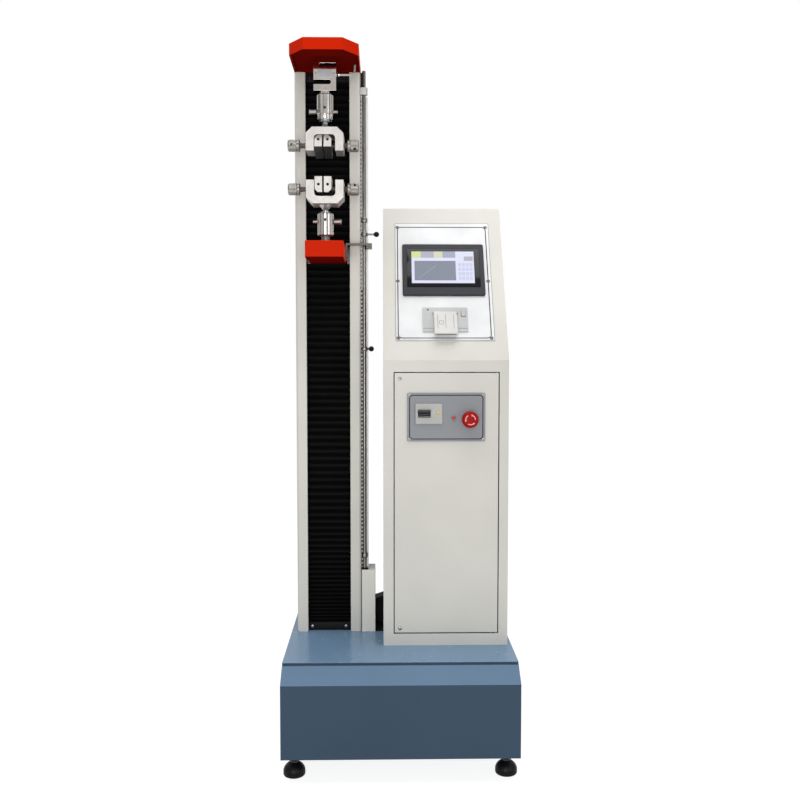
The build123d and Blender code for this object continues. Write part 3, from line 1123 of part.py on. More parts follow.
pin_x = grown(cover_x, COVER_PIN_LENGTH)
printer -= rod_x(grown(pin_x, RUN), hinge_v, hinge_w, COVER_PIN + 2 * FIT)
feed_x = about(printer_x[1] - FEED_BUTTON_RIGHT, FEED_BUTTON_WIDTH)
feed_y = about(PRINTER_RISE + FEED_BUTTON_RISE, FEED_BUTTON_LENGTH)
feed_seat = PANEL_SHEET - FEED_SEAT
printer -= block(grown(feed_x, RUN), grown(feed_y, RUN), (feed_seat, plate_top))
PARTS["printer_frame"] = SLOPE * printer

cover_low = PRINTER_RISE - COVER_OVERHANG
cover_top = plate_top + COVER_HEIGHT
cover_floor = plate_top + RUN


def cover_outline(wall):
    """The cover's side outline in the slope's frame: low at its hinge, high at its lip."""
    return [
        (hinge_v, cover_floor),
        (hinge_v, hinge_w + COVER_NOSE - wall),
        (cover_low + COVER_LIP, cover_top - wall),
        (cover_low + wall, cover_top - wall),
        (cover_low + wall, cover_top - COVER_LIP),
        (PRINTER_RISE + wall, cover_floor),
    ]


cover = prism_x(cover_outline(0), cover_x)
cover += rod_x(cover_x, hinge_v, hinge_w, 2 * COVER_NOSE)
hollow_x = grown(cover_x, -COVER_WALL)
hollow = prism_x(cover_outline(COVER_WALL), hollow_x)
hollow -= block(hollow_x, (hinge_v - 2 * COVER_NOSE, hinge_v + COVER_NOSE), (plate_top, hinge_w + COVER_NOSE))
cover -= hollow
cover += rod_x(pin_x, hinge_v, hinge_w, COVER_PIN)
PARTS["printer_cover"] = SLOPE * cover

feed = block(feed_x, feed_y, (feed_seat + FEED_TRAVEL + RUN, plate_top + FEED_BUTTON_HEIGHT))
PARTS["printer_feed_button"] = SLOPE * fillet(feed.edges().filter_by(Axis.Z), FEED_CORNER)

# Electronics on a folded tray against the cabinet's back wall
back = CABINET_REAR - CABINET_WALL
cabinet_middle = (CABINET_LEFT + CABINET_RIGHT) / 2
tray_x = grown((CABINET_LEFT, CABINET_RIGHT), -TRAY_SIDE)
tray_z = (BASE_TOP + TRAY_RISE + INLET_RISE, BASE_TOP + TRAY_RISE + INLET_RISE + TRAY_HEIGHT)
tray = block(tray_x, (back - TRAY_RETURN, back), tray_z)
tray -= block(grown(tray_x, -TRAY_SHEET), (back - TRAY_RETURN + TRAY_SHEET, back), tray_z)
tray_face = back - TRAY_RETURN
modules = [tray.solid()]
module_top = tray_z[1] - MODULE_GAP
for width, depth, height, module_x in (
    (*DRIVE_SIZE, tray_x[0] + MODULE_GAP),
    (*SUPPLY_SIZE, tray_x[1] - MODULE_GAP - SUPPLY_SIZE[0]),
):
    module_z = (module_top - height, module_top)
    module = block((module_x, module_x + width), (tray_face - depth, tray_face), module_z)
    modules.append(module.solid())
controller_top = module_top - max(DRIVE_SIZE[2], SUPPLY_SIZE[2]) - MODULE_GAP
controller = block(
    about(cabinet_middle, CONTROLLER_SIZE[0]),
    (tray_face - CONTROLLER_SIZE[1], tray_face),
    (controller_top - CONTROLLER_SIZE[2], controller_top),
)
modules.append(controller.solid())
PARTS["drive_electronics"] = Compound(modules)

# Cable fittings: the duct between column and cabinet, and the mains inlet at the back
duct_y = box_y[1] + DUCT_SETBACK
duct_top = BASE_TOP + DUCT_HEIGHT
duct = prism_y(
    [
        (COLUMN_SIDE, BASE_TOP),
        (CABINET_LEFT, BASE_TOP),
        (CABINET_LEFT, duct_top + DUCT_SLOPE),
        (COLUMN_SIDE, duct_top - DUCT_SLOPE),
    ],
    (duct_y, duct_y + DUCT_DEPTH),
)
inlet_rim = (CABINET_REAR, CABINET_REAR + INLET_RIM)
inlet = block(grown(inlet_x, INLET_MARGIN), inlet_rim, grown(inlet_z, INLET_MARGIN))
inlet = fillet(inlet.edges().filter_by(Axis.Y), INLET_MARGIN / 2)
inlet += block(grown(inlet_x, -RUN), (CABINET_REAR - INLET_DEPTH, CABINET_REAR), grown(inlet_z, -RUN))
socket_x = grown(inlet_x, -INLET_SOCKET)
socket_z = grown(inlet_z, -INLET_MARGIN)
socket_y = (CABINET_REAR + INLET_RIM - INLET_DEPTH / 2, CABINET_REAR + INLET_RIM)
inlet -= block(socket_x, socket_y, socket_z)
PARTS["cable_fittings"] = Compound([duct.solid(), inlet.solid()])

os.makedirs("parts", exist_ok=True)
for name, shape in PARTS.items():
    export_step(shape, f"parts/{name}.step")
print(len(PARTS), "pieces, lead", round(lead_path.length, 1), "mm long")
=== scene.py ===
# %% [markdown]
# # A single-column universal testing machine
# The machine pulls at what two screw vices hold, while a load cell weighs the pull. Its exact
# solids come packed with their joints. This lesson gives each of them the finish, the soft edges and
# the small parts that make painted steel, turned metal and pleated cloth look real.

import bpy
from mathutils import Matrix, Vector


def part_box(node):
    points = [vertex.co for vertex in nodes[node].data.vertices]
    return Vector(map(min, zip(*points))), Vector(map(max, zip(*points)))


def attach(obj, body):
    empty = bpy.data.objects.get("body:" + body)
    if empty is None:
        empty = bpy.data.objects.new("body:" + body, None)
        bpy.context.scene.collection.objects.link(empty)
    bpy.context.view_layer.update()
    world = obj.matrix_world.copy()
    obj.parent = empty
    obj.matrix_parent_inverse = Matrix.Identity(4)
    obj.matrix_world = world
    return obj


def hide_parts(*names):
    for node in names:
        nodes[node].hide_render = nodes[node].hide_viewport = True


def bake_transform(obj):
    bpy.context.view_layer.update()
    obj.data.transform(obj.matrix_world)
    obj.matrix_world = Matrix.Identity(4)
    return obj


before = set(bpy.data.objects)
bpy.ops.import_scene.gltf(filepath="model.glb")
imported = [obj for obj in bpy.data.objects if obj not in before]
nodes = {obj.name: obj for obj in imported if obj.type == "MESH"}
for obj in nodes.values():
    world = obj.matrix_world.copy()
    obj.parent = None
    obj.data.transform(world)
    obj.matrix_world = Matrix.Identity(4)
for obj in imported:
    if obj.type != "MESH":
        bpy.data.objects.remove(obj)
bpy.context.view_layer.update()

# %% Modules and units
import math
import bmesh
import bpy
from mathutils import Matrix, Vector

MM = 0.001

# %% [markdown]
# ## Camera
# The photograph was taken from a little above waist height, nearly square on. The lens and the place
# were worked out once from edges of known length, so they are written here as plain values.

# %% Camera at the photograph's place
CAMERA_PLACE = (-0.04015, -2.28637, 0.97152)
CAMERA_DOWN = 3.30
CAMERA_RIGHT = 1.09
CAMERA_LENS = 41.64

camera_data = bpy.data.cameras.new("photo_camera")
camera_data.lens = CAMERA_LENS
camera_data.sensor_width = 36.0
camera = bpy.data.objects.new("photo_camera", camera_data)
camera.location = CAMERA_PLACE
camera.rotation_euler = (math.radians(90 - CAMERA_DOWN), 0.0, math.radians(-CAMERA_RIGHT))
bpy.context.scene.collection.objects.link(camera)
bpy.context.scene.camera = camera
bpy.context.scene.view_settings.view_transform = "Standard"
print("camera at", CAMERA_PLACE, "lens", CAMERA_LENS)

# %% [markdown]
# ## Light
# A product studio: one broad soft lamp overhead, a weaker one in front, another on the right and a white
# surround. The camera sees plain white. The light that falls on the paint is dimmer, so that a colour
# comes out about as it is written. Mirror and glass rays meet a white room that is darker low behind the
# camera and has three narrow dark flags, which give turned metal its dark stripes.

# %% Surround
WHITE = (1.0, 1.0, 1.0, 1.0)
FLAG_PLACES = ((0.035, 0.03), (0.32, 0.035), (0.945, 0.03))
FLAG_TONE = 0.12
ROOM_LOW = 0.30
ROOM_TILT = 3.0
ROOM_LEVEL = 0.75
PAINT_LEVEL = 0.33


def feed(graph, socket, side):
    """Set a socket to a number, or wire another node's value into it."""
    if isinstance(side, (int, float)):
        socket.default_value = side
    else:
        graph.links.new(side, socket)


def arithmetic(graph, operation, *sides):
    """One arithmetic node; each side is a number or another node's value."""
    node = graph.nodes.new("ShaderNodeMath")
    node.operation = operation
    for socket, side in zip(node.inputs, sides):
        feed(graph, socket, side)
    return node.outputs["Value"]


def map_range(graph, value, **limits):
    """A value taken from one range to another; an underscore in a limit stands for a space."""
    node = graph.nodes.new("ShaderNodeMapRange")
    feed(graph, node.inputs["Value"], value)
    for limit, side in limits.items():
        feed(graph, node.inputs[limit.replace("_", " ")], side)
    return node.outputs["Result"]


world = bpy.data.worlds.new("studio")
world.use_nodes = True
bpy.context.scene.world = world
tree = world.node_tree
tree.nodes.clear()
rays = tree.nodes.new("ShaderNodeLightPath")
direction = tree.nodes.new("ShaderNodeTexCoord")
split = tree.nodes.new("ShaderNodeSeparateXYZ")
tree.links.new(direction.outputs["Generated"], split.inputs["Vector"])
flags = tree.nodes.new("ShaderNodeValToRGB")
for middle, half in FLAG_PLACES:
    for step, tone in ((-half, 1.0), (-half / 3, FLAG_TONE), (half / 3, FLAG_TONE), (half, 1.0)):
        flags.color_ramp.elements.new(middle + step).color = (tone, tone, tone, 1.0)
flags.color_ramp.elements[0].color = WHITE
tree.links.new(map_range(tree, split.outputs["X"], From_Min=-1.0), flags.inputs["Fac"])
lift = arithmetic(tree, "MULTIPLY_ADD", split.outputs["Z"], ROOM_TILT, split.outputs["Y"])
room = map_range(tree, lift, From_Min=-1.0, From_Max=0.0, To_Min=ROOM_LOW, To_Max=1.0)
shade = arithmetic(tree, "MULTIPLY", room, flags.outputs["Color"])
level = arithmetic(tree, "MULTIPLY", shade, ROOM_LEVEL)
mirrored = arithmetic(tree, "MAXIMUM", rays.outputs["Is Glossy Ray"], rays.outputs["Is Transmission Ray"])
soft = map_range(tree, mirrored, To_Min=PAINT_LEVEL, To_Max=level)
sky = tree.nodes.new("ShaderNodeBackground")
sky.inputs["Color"].default_value = WHITE
tree.links.new(arithmetic(tree, "MAXIMUM", soft, rays.outputs["Is Camera Ray"]), sky.inputs["Strength"])
out = tree.nodes.new("ShaderNodeOutputWorld")
tree.links.new(sky.outputs["Background"], out.inputs["Surface"])
print("surround made")


# %% Lamps
def soft_lamp(name, place, target, width, height, power):
    """A rectangular lamp that looks at a point."""
    lamp = bpy.data.lights.new(name, "AREA")
    lamp.shape = "RECTANGLE"
    lamp.size = width
    lamp.size_y = height
    lamp.energy = power
    holder = bpy.data.objects.new(name, lamp)
    holder.location = place
    holder.rotation_euler = (Vector(target) - Vector(place)).to_track_quat("-Z", "Y").to_euler()
    bpy.context.scene.collection.objects.link(holder)
    print(name, power, "W")


soft_lamp("overhead_lamp", (0.0, -0.5, 3.3), (0.0, 0.0, 0.5), 2.6, 2.0, 50.0)
soft_lamp("front_lamp", (-0.3, -3.0, 1.0), (-0.05, 0.0, 0.8), 1.2, 1.4, 27.0)
soft_lamp("right_lamp", (2.0, -2.0, 1.3), (0.0, 0.0, 0.9), 1.0, 1.8, 9.0)


# %% [markdown]
# ## Finishes
# Every finish is a Principled shader. A value that is the same all over sits on the shader's own socket.
# Noise on Object coordinates, counted in features per metre, gives the orange peel of powder paint, the
# drawn lines of brushed steel and the weave of coated cloth, so a pattern keeps its real scale.


# %% Shader helpers
def srgb(red, green, blue):
    """A colour read as 0 to 255 values, in the linear light that shaders use."""
    return tuple(((c / 255 + 0.055) / 1.055) ** 2.4 for c in (red, green, blue)) + (1.0,)


def add_node(material, kind, **sockets):
    """A shader node with some of its sockets set; an underscore in a name stands for a space."""
    node = material.node_tree.nodes.new(kind)
    for socket, value in sockets.items():
        node.inputs[socket.replace("_", " ")].default_value = value
    return node


def join(material, output, socket):
    """Wire one shader node to another."""
    material.node_tree.links.new(output, socket)


def principled(material):
    """The shader that every finish is made of."""
    return material.node_tree.nodes["Principled BSDF"]


def new_finish(name, colour, roughness, metallic=0.0):
    """A material whose plain values are set; patterns are wired in afterwards."""
    material = bpy.data.materials.new(name)
    material.use_nodes = True
    shader = principled(material)
    shader.inputs["Base Color"].default_value = colour
    shader.inputs["Roughness"].default_value = roughness
    shader.inputs["Metallic"].default_value = metallic
    return material


def place_of(material, stretch=(1.0, 1.0, 1.0)):
    """Object coordinates, drawn out or squeezed along each axis."""
    coordinates = add_node(material, "ShaderNodeTexCoord")
    mapping = add_node(material, "ShaderNodeMapping", Scale=stretch)
    join(material, coordinates.outputs["Object"], mapping.inputs["Vector"])
    return mapping.outputs["Vector"]


def grain(material, scale, detail=3.0, stretch=(1.0, 1.0, 1.0)):
    """A noise pattern with so many features to the metre."""
    pattern = add_node(material, "ShaderNodeTexNoise", Scale=scale, Detail=detail)
    join(material, place_of(material, stretch), pattern.inputs["Vector"])
    return pattern.outputs["Fac"]


def tint(material, factor, first, second, start=0.35, stop=0.65):
    """Base colour that runs from one colour to another with a pattern."""
    ramp = add_node(material, "ShaderNodeValToRGB")
    ramp.color_ramp.elements[0].position = start
    ramp.color_ramp.elements[0].color = first
    ramp.color_ramp.elements[1].position = stop
    ramp.color_ramp.elements[1].color = second
    join(material, factor, ramp.inputs["Fac"])
    join(material, ramp.outputs["Color"], principled(material).inputs["Base Color"])


def polish(material, factor, low, high):
    """Roughness that runs between two values with a pattern."""
    spread = map_range(material.node_tree, factor, To_Min=low, To_Max=high)
    join(material, spread, principled(material).inputs["Roughness"])


def relief(material, factor, depth, strength=1.0):
    """Bump from a pattern, with its depth in metres."""
    bump = add_node(material, "ShaderNodeBump", Strength=strength, Distance=depth)
    join(material, factor, bump.inputs["Height"])
    join(material, bump.outputs["Normal"], principled(material).inputs["Normal"])


def set_shine(level, *materials):
    """How strongly finishes mirror what is around them."""
    for material in materials:
        principled(material).inputs["Specular IOR Level"].default_value = level


def glow(material, colour, strength):
    """Light that a finish gives off by itself."""
    principled(material).inputs["Emission Color"].default_value = colour
    principled(material).inputs["Emission Strength"].default_value = strength


def shaded(colour, share):
    """The same colour, lighter or darker by a share."""
    return tuple(min(1.0, c * share) for c in colour[:3]) + (1.0,)


print("shader helpers ready")


# %% Paints
def powder_paint(name, colour, roughness, peel, depth=0.05 * MM):
    """Sprayed powder paint: slow shifts of tone, fine peel and a few duller patches."""
    material = new_finish(name, colour, roughness)
    tint(material, grain(material, 5.0, 4.0), shaded(colour, 0.95), shaded(colour, 1.03))
    polish(material, grain(material, 40.0), roughness - 0.06, roughness + 0.08)
    relief(material, grain(material, peel, 2.0), depth, 0.35)
    return material


# A lighter copy of the cream paint for the switch box: painted light.
switch_box_painted_light = powder_paint("switch_box_cream_painted_light", srgb(226, 224, 215), 0.42, 900.0)
cream_paint = powder_paint("cream_powder_paint", srgb(208, 206, 198), 0.42, 900.0)
base_paint = powder_paint("steel_blue_paint", srgb(54, 74, 93), 0.36, 420.0)
# The top plate and the bevel get lighter copies of the base blue: painted light where faces look up.
top_painted_light = powder_paint("top_plate_blue_painted_light", srgb(117, 148, 178), 0.24, 420.0, 0.012 * MM)
bevel_painted_light = powder_paint("bevel_blue_painted_light", srgb(89, 118, 146), 0.34, 420.0)
orange_paint = powder_paint("orange_enamel", srgb(204, 37, 6), 0.38, 500.0)
# A dark copy of the orange enamel: painted shade for the undersides of the head and the crosshead.
orange_painted_shade = powder_paint("orange_enamel_painted_shade", srgb(104, 13, 7), 0.7, 500.0)
grey_paint = powder_paint("panel_grey_paint", srgb(134, 137, 142), 0.45, 1100.0)
set_shine(0.02, orange_paint)
# The painted shade has no mirror shine.
set_shine(0.0, orange_painted_shade)
set_shine(0.2, base_paint, bevel_painted_light)
set_shine(0.3, top_painted_light)
print("paints:", cream_paint.name, base_paint.name, orange_paint.name, grey_paint.name)


# %% Metals
def worked_metal(name, colour, roughness, stretch, depth=0.02 * MM):
    """Bare metal with the marks of its tool drawn out along the axis of least stretch."""
    material = new_finish(name, colour, roughness, 1.0)
    marks = grain(material, 700.0, 3.0, stretch)
    tint(material, grain(material, 60.0, 3.0), shaded(colour, 0.88), colour)
    polish(material, marks, roughness * 0.8, roughness * 1.25)
    relief(material, marks, depth, 0.4)
    return material


satin_steel = worked_metal("satin_steel", srgb(200, 196, 192), 0.5, (1.0, 1.0, 1.0))
turned_steel = worked_metal("turned_steel", srgb(206, 202, 197), 0.16, (0.05, 0.05, 1.0), 0.006 * MM)
cross_turned_steel = worked_metal("cross_turned_steel", srgb(150, 147, 142), 0.36, (1.0, 0.05, 0.05))
drawn_steel = worked_metal("drawn_rod_steel", srgb(132, 130, 126), 0.22, (1.0, 1.0, 0.03), 0.006 * MM)
ground_steel = worked_metal("ground_steel", srgb(176, 178, 180), 0.28, (1.0, 1.0, 0.05))
dark_steel = worked_metal("hardened_steel", srgb(120, 121, 123), 0.42, (1.0, 1.0, 1.0))
# A darker copy of steel for the striker: painted shade for its underside, which the camera sees from below.
striker_steel_painted_shade = worked_metal("striker_steel_painted_shade", srgb(94, 91, 85), 0.42, (1.0, 1.0, 1.0))
zinc_plate = worked_metal("zinc_plated_sheet", srgb(186, 190, 194), 0.36, (1.0, 1.0, 0.2))
black_oxide = worked_metal("black_oxide_steel", srgb(58, 58, 60), 0.4, (1.0, 1.0, 1.0))
screw_steel = worked_metal("screw_steel", srgb(190, 190, 188), 0.26, (1.0, 1.0, 1.0))
nickel_plate = worked_metal("nickel_plate", srgb(216, 209, 202), 0.07, (1.0, 1.0, 1.0), 0.002 * MM)
print("metals made")


# %% Plastics, rubber and cloth
def moulded(name, colour, roughness, texture=1400.0, depth=0.03 * MM):
    """Moulded plastic or rubber with an even spark-eroded grain."""
    material = new_finish(name, colour, roughness)
    tint(material, grain(material, 12.0), shaded(colour, 0.92), shaded(colour, 1.05))
    polish(material, grain(material, 90.0), roughness - 0.05, roughness + 0.07)
    relief(material, grain(material, texture, 2.0), depth, 0.4)
    return material


black_plastic = moulded("black_plastic", srgb(34, 34, 36), 0.42)
bezel_plastic = moulded("bezel_plastic", srgb(36, 37, 44), 0.5)
seam_grey = moulded("seam_grey", srgb(96, 96, 96), 0.6)
grey_plastic = moulded("printer_grey_plastic", srgb(186, 188, 187), 0.48)
cover_plastic = moulded("printer_cover_plastic", srgb(206, 204, 200), 0.45)
breaker_plastic = moulded("breaker_case_plastic", srgb(172, 172, 168), 0.45)
red_plastic = moulded("stop_red_plastic", srgb(162, 13, 15), 0.38)
pink_print = moulded("arrow_print", srgb(246, 168, 156), 0.5)
yellow_plastic = moulded("yellow_plastic", srgb(226, 188, 44), 0.35)
board_green = moulded("board_green", srgb(38, 84, 60), 0.5)
rubber = moulded("black_rubber", srgb(11, 11, 12), 0.42, 700.0, 0.06 * MM)
lead_jacket = moulded("lead_jacket", srgb(196, 190, 180), 0.5, 900.0)
pleat_cloth = new_finish("pleated_cloth", srgb(9, 9, 11), 0.7)
tint(pleat_cloth, grain(pleat_cloth, 9.0, 4.0), srgb(7, 7, 8), srgb(12, 12, 14))
relief(pleat_cloth, grain(pleat_cloth, 1200.0, 2.0), 0.08 * MM, 0.5)
black_glass = new_finish("black_glass", srgb(10, 11, 16), 0.10)
polish(black_glass, grain(black_glass, 30.0), 0.06, 0.14)
lamp_lens = moulded("lamp_lens", srgb(158, 18, 20), 0.18)
glow(lamp_lens, srgb(255, 60, 50), 0.16)
panel_white = moulded("panel_satin_white", srgb(222, 223, 224), 0.34, 1600.0)
engraved = moulded("engraved_line", srgb(22, 22, 24), 0.7)
flange_black = moulded("flange_black", srgb(9, 9, 13), 0.6)
set_shine(0.1, pleat_cloth, engraved)
set_shine(0.12, red_plastic)
set_shine(0.2, flange_black, rubber)
set_shine(0.25, black_glass)
set_shine(0.3, bezel_plastic)
print("plastics, rubber and cloth made")


# %% [markdown]
# ## Building helpers
# A CAD solid has knife edges, and no real edge is that sharp. A copy of a node is merged, its flat
# triangles are joined and its corners are bevelled, so that edges catch the light. New small parts are
# turned with a spin or start from a cube. One function joins such shapes into a piece, gives it its
# finishes and lets it ride on a body.


# %% Soft copies, boxes and turned shapes
UP = (0, 0, 1)
FRONT = (0, -1, 0)
SHARP_CORNER = math.radians(28.0)
FLAT_JOINT = math.radians(0.5)


def round_off(shape, geom, width, segments, affect="EDGES"):
    """Bevel edges or corners, as wide as there is room for."""
    bmesh.ops.bevel(
        shape, geom=geom, offset=width, offset_type="OFFSET", affect=affect, segments=segments,
        profile=0.5, material=-1, clamp_overlap=True,
    )


def softened(node, width, segments=2):
    """A copy of a node with its triangles joined and its corners bevelled."""
    shape = bmesh.new()
    shape.from_mesh(nodes[node].data)
    bmesh.ops.remove_doubles(shape, verts=shape.verts, dist=0.002 * MM)
    bmesh.ops.dissolve_limit(
        shape, angle_limit=FLAT_JOINT, use_dissolve_boundaries=False, verts=shape.verts, edges=shape.edges
    )
    corners = [edge for edge in shape.edges if edge.is_manifold and edge.calc_face_angle(0.0) > SHARP_CORNER]
    round_off(shape, corners, width, segments)
    return shape


def moved(shape, matrix):
    """The same shape, put in another place."""
    bmesh.ops.transform(shape, matrix=matrix, verts=shape.verts)
    return shape


def midpoint(low, high):
    """The point half-way between two corners."""
    return tuple((first + second) / 2 for first, second in zip(low, high))


def cuboid(low, high, edge=0.0):
    """A box between two corners, with bevelled edges."""
    shape = bmesh.new()
    bmesh.ops.create_cube(shape, size=1.0)
    size = Vector(high) - Vector(low)
    middle = (Vector(high) + Vector(low)) / 2
    moved(shape, Matrix.Translation(middle) @ Matrix.Diagonal((*size, 1.0)))
    if edge:
        round_off(shape, shape.edges[:], edge, 2)
    return shape


def standing(origin, direction):
    """The matrix that stands a shape on a point, with its height along a direction."""
    lay = Vector(UP).rotation_difference(Vector(direction)).to_matrix().to_4x4()
    return Matrix.Translation(origin) @ lay


def outline(*points):
    """Points written in millimetres: radius and height of a spun outline, or across and up."""
    return [(first * MM, second * MM) for first, second in points]


def turned(profile, origin, direction, steps):
    """A spun outline of (radius, height) points, its axis laid along a direction from an origin."""
    shape = bmesh.new()
    points = [shape.verts.new((radius, 0.0, height)) for radius, height in profile]
    rim = [shape.edges.new(pair) for pair in zip(points, points[1:])]
    bmesh.ops.spin(
        shape, geom=points + rim, cent=(0, 0, 0), axis=UP, angle=2 * math.pi, steps=steps, use_merge=True
    )
    bmesh.ops.remove_doubles(shape, verts=shape.verts, dist=0.001 * MM)
    bmesh.ops.recalc_face_normals(shape, faces=shape.faces)
    return moved(shape, standing(origin, direction))


print("shape helpers ready")


# %% Pieces and their finishes
def pour(shape, whole):
    """Move a shape into a larger one."""
    part = bpy.data.meshes.new("part")
    shape.to_mesh(part)
    shape.free()
    whole.from_mesh(part)
    bpy.data.meshes.remove(part)


def assemble(name, body, shapes, stands_for=(), smooth=32.0, even=True):
    """Join (shape, finish) pairs into one piece that rides on a body."""
    whole = bmesh.new()
    finishes = []
    for shape, finish in shapes:
        if finish not in finishes:
            finishes.append(finish)
        for face in shape.faces:
            face.material_index = finishes.index(finish)
        pour(shape, whole)
    mesh = bpy.data.meshes.new(name)
    whole.to_mesh(mesh)
    whole.free()
    for finish in finishes:
        mesh.materials.append(finish)
    mesh.polygons.foreach_set("use_smooth", [True] * len(mesh.polygons))
    mesh.set_sharp_from_angle(angle=math.radians(smooth))
    piece = bpy.data.objects.new(name, mesh)
    bpy.context.scene.collection.objects.link(piece)
    if even:
        flat = piece.modifiers.new("even_faces", "WEIGHTED_NORMAL")
        flat.keep_sharp = True
    if body:
        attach(piece, body)
    if stands_for:
        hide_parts(*stands_for)
    print(name, len(mesh.polygons), "faces on", body)
    return piece


def soften_node(node, body, width, finish, segments=2, extras=()):
    """Replace a node by its softened copy, with small parts joined to it."""
    return assemble(f"{node}_piece", body, [(softened(node, width, segments), finish), *extras], [node])


def refinish(piece, finish, chosen):
    """Another finish for those faces of a piece that a test picks."""
    piece.data.materials.append(finish)
    slot = len(piece.data.materials) - 1
    for face in piece.data.polygons:
        if chosen(face):
            face.material_index = slot


def looks_down(face):
    """Faces on the underside of a piece."""
    return face.normal.z < -0.5


def dress(finish, *names):
    """Give CAD nodes that keep their shape a finish."""
    for name in names:
        data = nodes[name].data
        data.materials.clear()
        data.materials.append(finish)
    print(finish.name, "on", ", ".join(names))


def dome_screw(place, out, radius, height, finish=screw_steel):
    """A pan-head screw: its head and the two arms of its cross recess, black as painted shade in the recess.
    """
    profile = [(0.0, height), (radius * 0.55, height * 0.93), (radius * 0.86, height * 0.6), (radius, 0.0)]
    shapes = [(turned(profile, place, out, 20), finish)]
    # The cross is two black bars: painted shade in the recess.
    across = radius * 0.52
    bar = radius * 0.13
    for long_x, long_y in ((across, bar), (bar, across)):
        arm = cuboid((-long_x, -long_y, height * 0.5), (long_x, long_y, height * 1.01))
        shapes.append((moved(arm, standing(place, out)), black_plastic))
    return shapes


print("piece helpers ready")

# %% [markdown]
# ## Base and feet
# The base is a welded steel box with a sloping front edge, under a thick top plate. Softened copies of
# the two solids are enough. Faces that look up get a lighter blue, which is painted light, and a glossier
# coat. A darker strip under the top plate's front edge is a painted shadow. The feet are turned rubber
# pads on threaded studs, so they are spun outlines with a ribbed rim, a hexagon and fine thread rings.

# %% Base box and top plate
UPWARD = 0.3
# How far the painted shadow strip under the top plate's edge reaches out and down.
SHADOW_STRIP_OUT, SHADOW_STRIP_DROP = 2.2 * MM, 2.4 * MM
housing = soften_node("base_housing", "frame", 1.6 * MM, base_paint, 3)
# Faces of the box that look up get the lighter blue: painted light.
refinish(housing, bevel_painted_light, lambda face: face.normal.z > UPWARD)
top_low, top_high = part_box("base_top_plate")
# A darker blue strip just under the top plate's front edge: a painted shadow of the plate's edge on the
# bevel.
plate_shadow_strip = cuboid(
    (top_low.x + 1 * MM, top_low.y - SHADOW_STRIP_OUT, top_low.z - SHADOW_STRIP_DROP),
    (top_high.x - 1 * MM, top_low.y + 1 * MM, top_low.z + 0.2 * MM), 0.3 * MM,
)
top_plate = soften_node("base_top_plate", "frame", 0.6 * MM, top_painted_light, 2, [(plate_shadow_strip, base_paint)])
# The top plate's sides and front edge keep the darker blue, and its top the lighter one, which is painted
# light.
refinish(top_plate, base_paint, lambda face: face.normal.z < UPWARD)

# %% Levelling feet
PAD_RIM = ((4, 0.2), (1.5, 1.6), (0, 4))
PAD_DOME = ((0.5, 15.5), (2.2, 19.5), (5, 23.5), (8.6, 27), (12, 29.4))
FOOT_HEXAGON = outline((0, 31), (10, 31), (11, 31.8), (11, 36), (10, 37), (0, 37))
PAD_GROOVES, GROOVE_FOOT, GROOVE_PITCH = 3, 5.5, 3
PAD_GROOVE = ((0, 0), (0.8, 0.5), (0, 1.2))
STUD_START, STUD_TIP, STUD_PITCH = 37 * MM, 40 * MM, 1.75 * MM
STUD_ROOT, STUD_CREST = 5.2 * MM, 6 * MM


def levelling_foot(name):
    """A domed rubber pad with a grooved rim, a hexagon and a threaded stud."""
    low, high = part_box(name)
    place = (*midpoint(low, high)[:2], 0.0)
    rim = (high.x - low.x) / 2
    pad = [(0.0, 0.2 * MM)] + [(rim - inset * MM, height * MM) for inset, height in PAD_RIM]
    for groove in range(PAD_GROOVES):
        foot = (GROOVE_FOOT + GROOVE_PITCH * groove) * MM
        pad += [(rim - inset * MM, foot + rise * MM) for inset, rise in PAD_GROOVE]
    pad += [(rim - inset * MM, height * MM) for inset, height in PAD_DOME]
    pad += outline((11.6, 30.4), (0, 31))
    stud = outline((0, 36))
    for turn in range(int((high.z - STUD_TIP) / STUD_PITCH)):
        height = STUD_START + turn * STUD_PITCH
        stud += [(STUD_ROOT, height), (STUD_CREST, height + STUD_PITCH / 2)]
    stud += [(STUD_ROOT, high.z - 0.5 * MM), (0.0, high.z)]
    shapes = [(turned(pad, place, UP, 64), rubber), (turned(FOOT_HEXAGON, place, UP, 6), black_oxide)]
    shapes.append((turned(stud, place, UP, 24), black_oxide))
    assemble(f"{name}_piece", name, shapes, [name])


for corner in ("front_left_foot", "front_right_foot", "rear_left_foot", "rear_right_foot"):
    levelling_foot(corner)

# %% [markdown]
# ## Column and head
# The column is one folded sheet with two front lips. A beam on its top carries the load cell, and an
# orange sheet cap covers it. Rails, bearings and the ball screw stand inside, behind the pleated guard.

# %% Column, beam and cap
soften_node("column_profile", "frame", 1.0 * MM, cream_paint)
# The beam under the cap gets the dark orange: painted shade.
soften_node("head_beam", "frame", 0.8 * MM, orange_painted_shade)
cap = soften_node("cap_cover", "frame", 0.8 * MM, orange_paint)
# The cap's underside gets the dark orange: painted shade.
refinish(cap, orange_painted_shade, looks_down)
dress(ground_steel, "column_guides", "guide_blocks_and_nut")
dress(zinc_plate, "crosshead_carriage")

# %% [markdown]
# ## Pleated guard
# Two lengths of coated cloth are folded like a concertina between the crosshead and the ends of the
# column. The folds of the lower one sag together near the base, so its pitch grows from the bottom up.
# The fold line is pushed sideways and given thickness.


# %% Concertina folds
CLOTH = 0.7 * MM
FOLD_RADIUS = 1.3 * MM
FOLD_INSET = 0.9 * MM


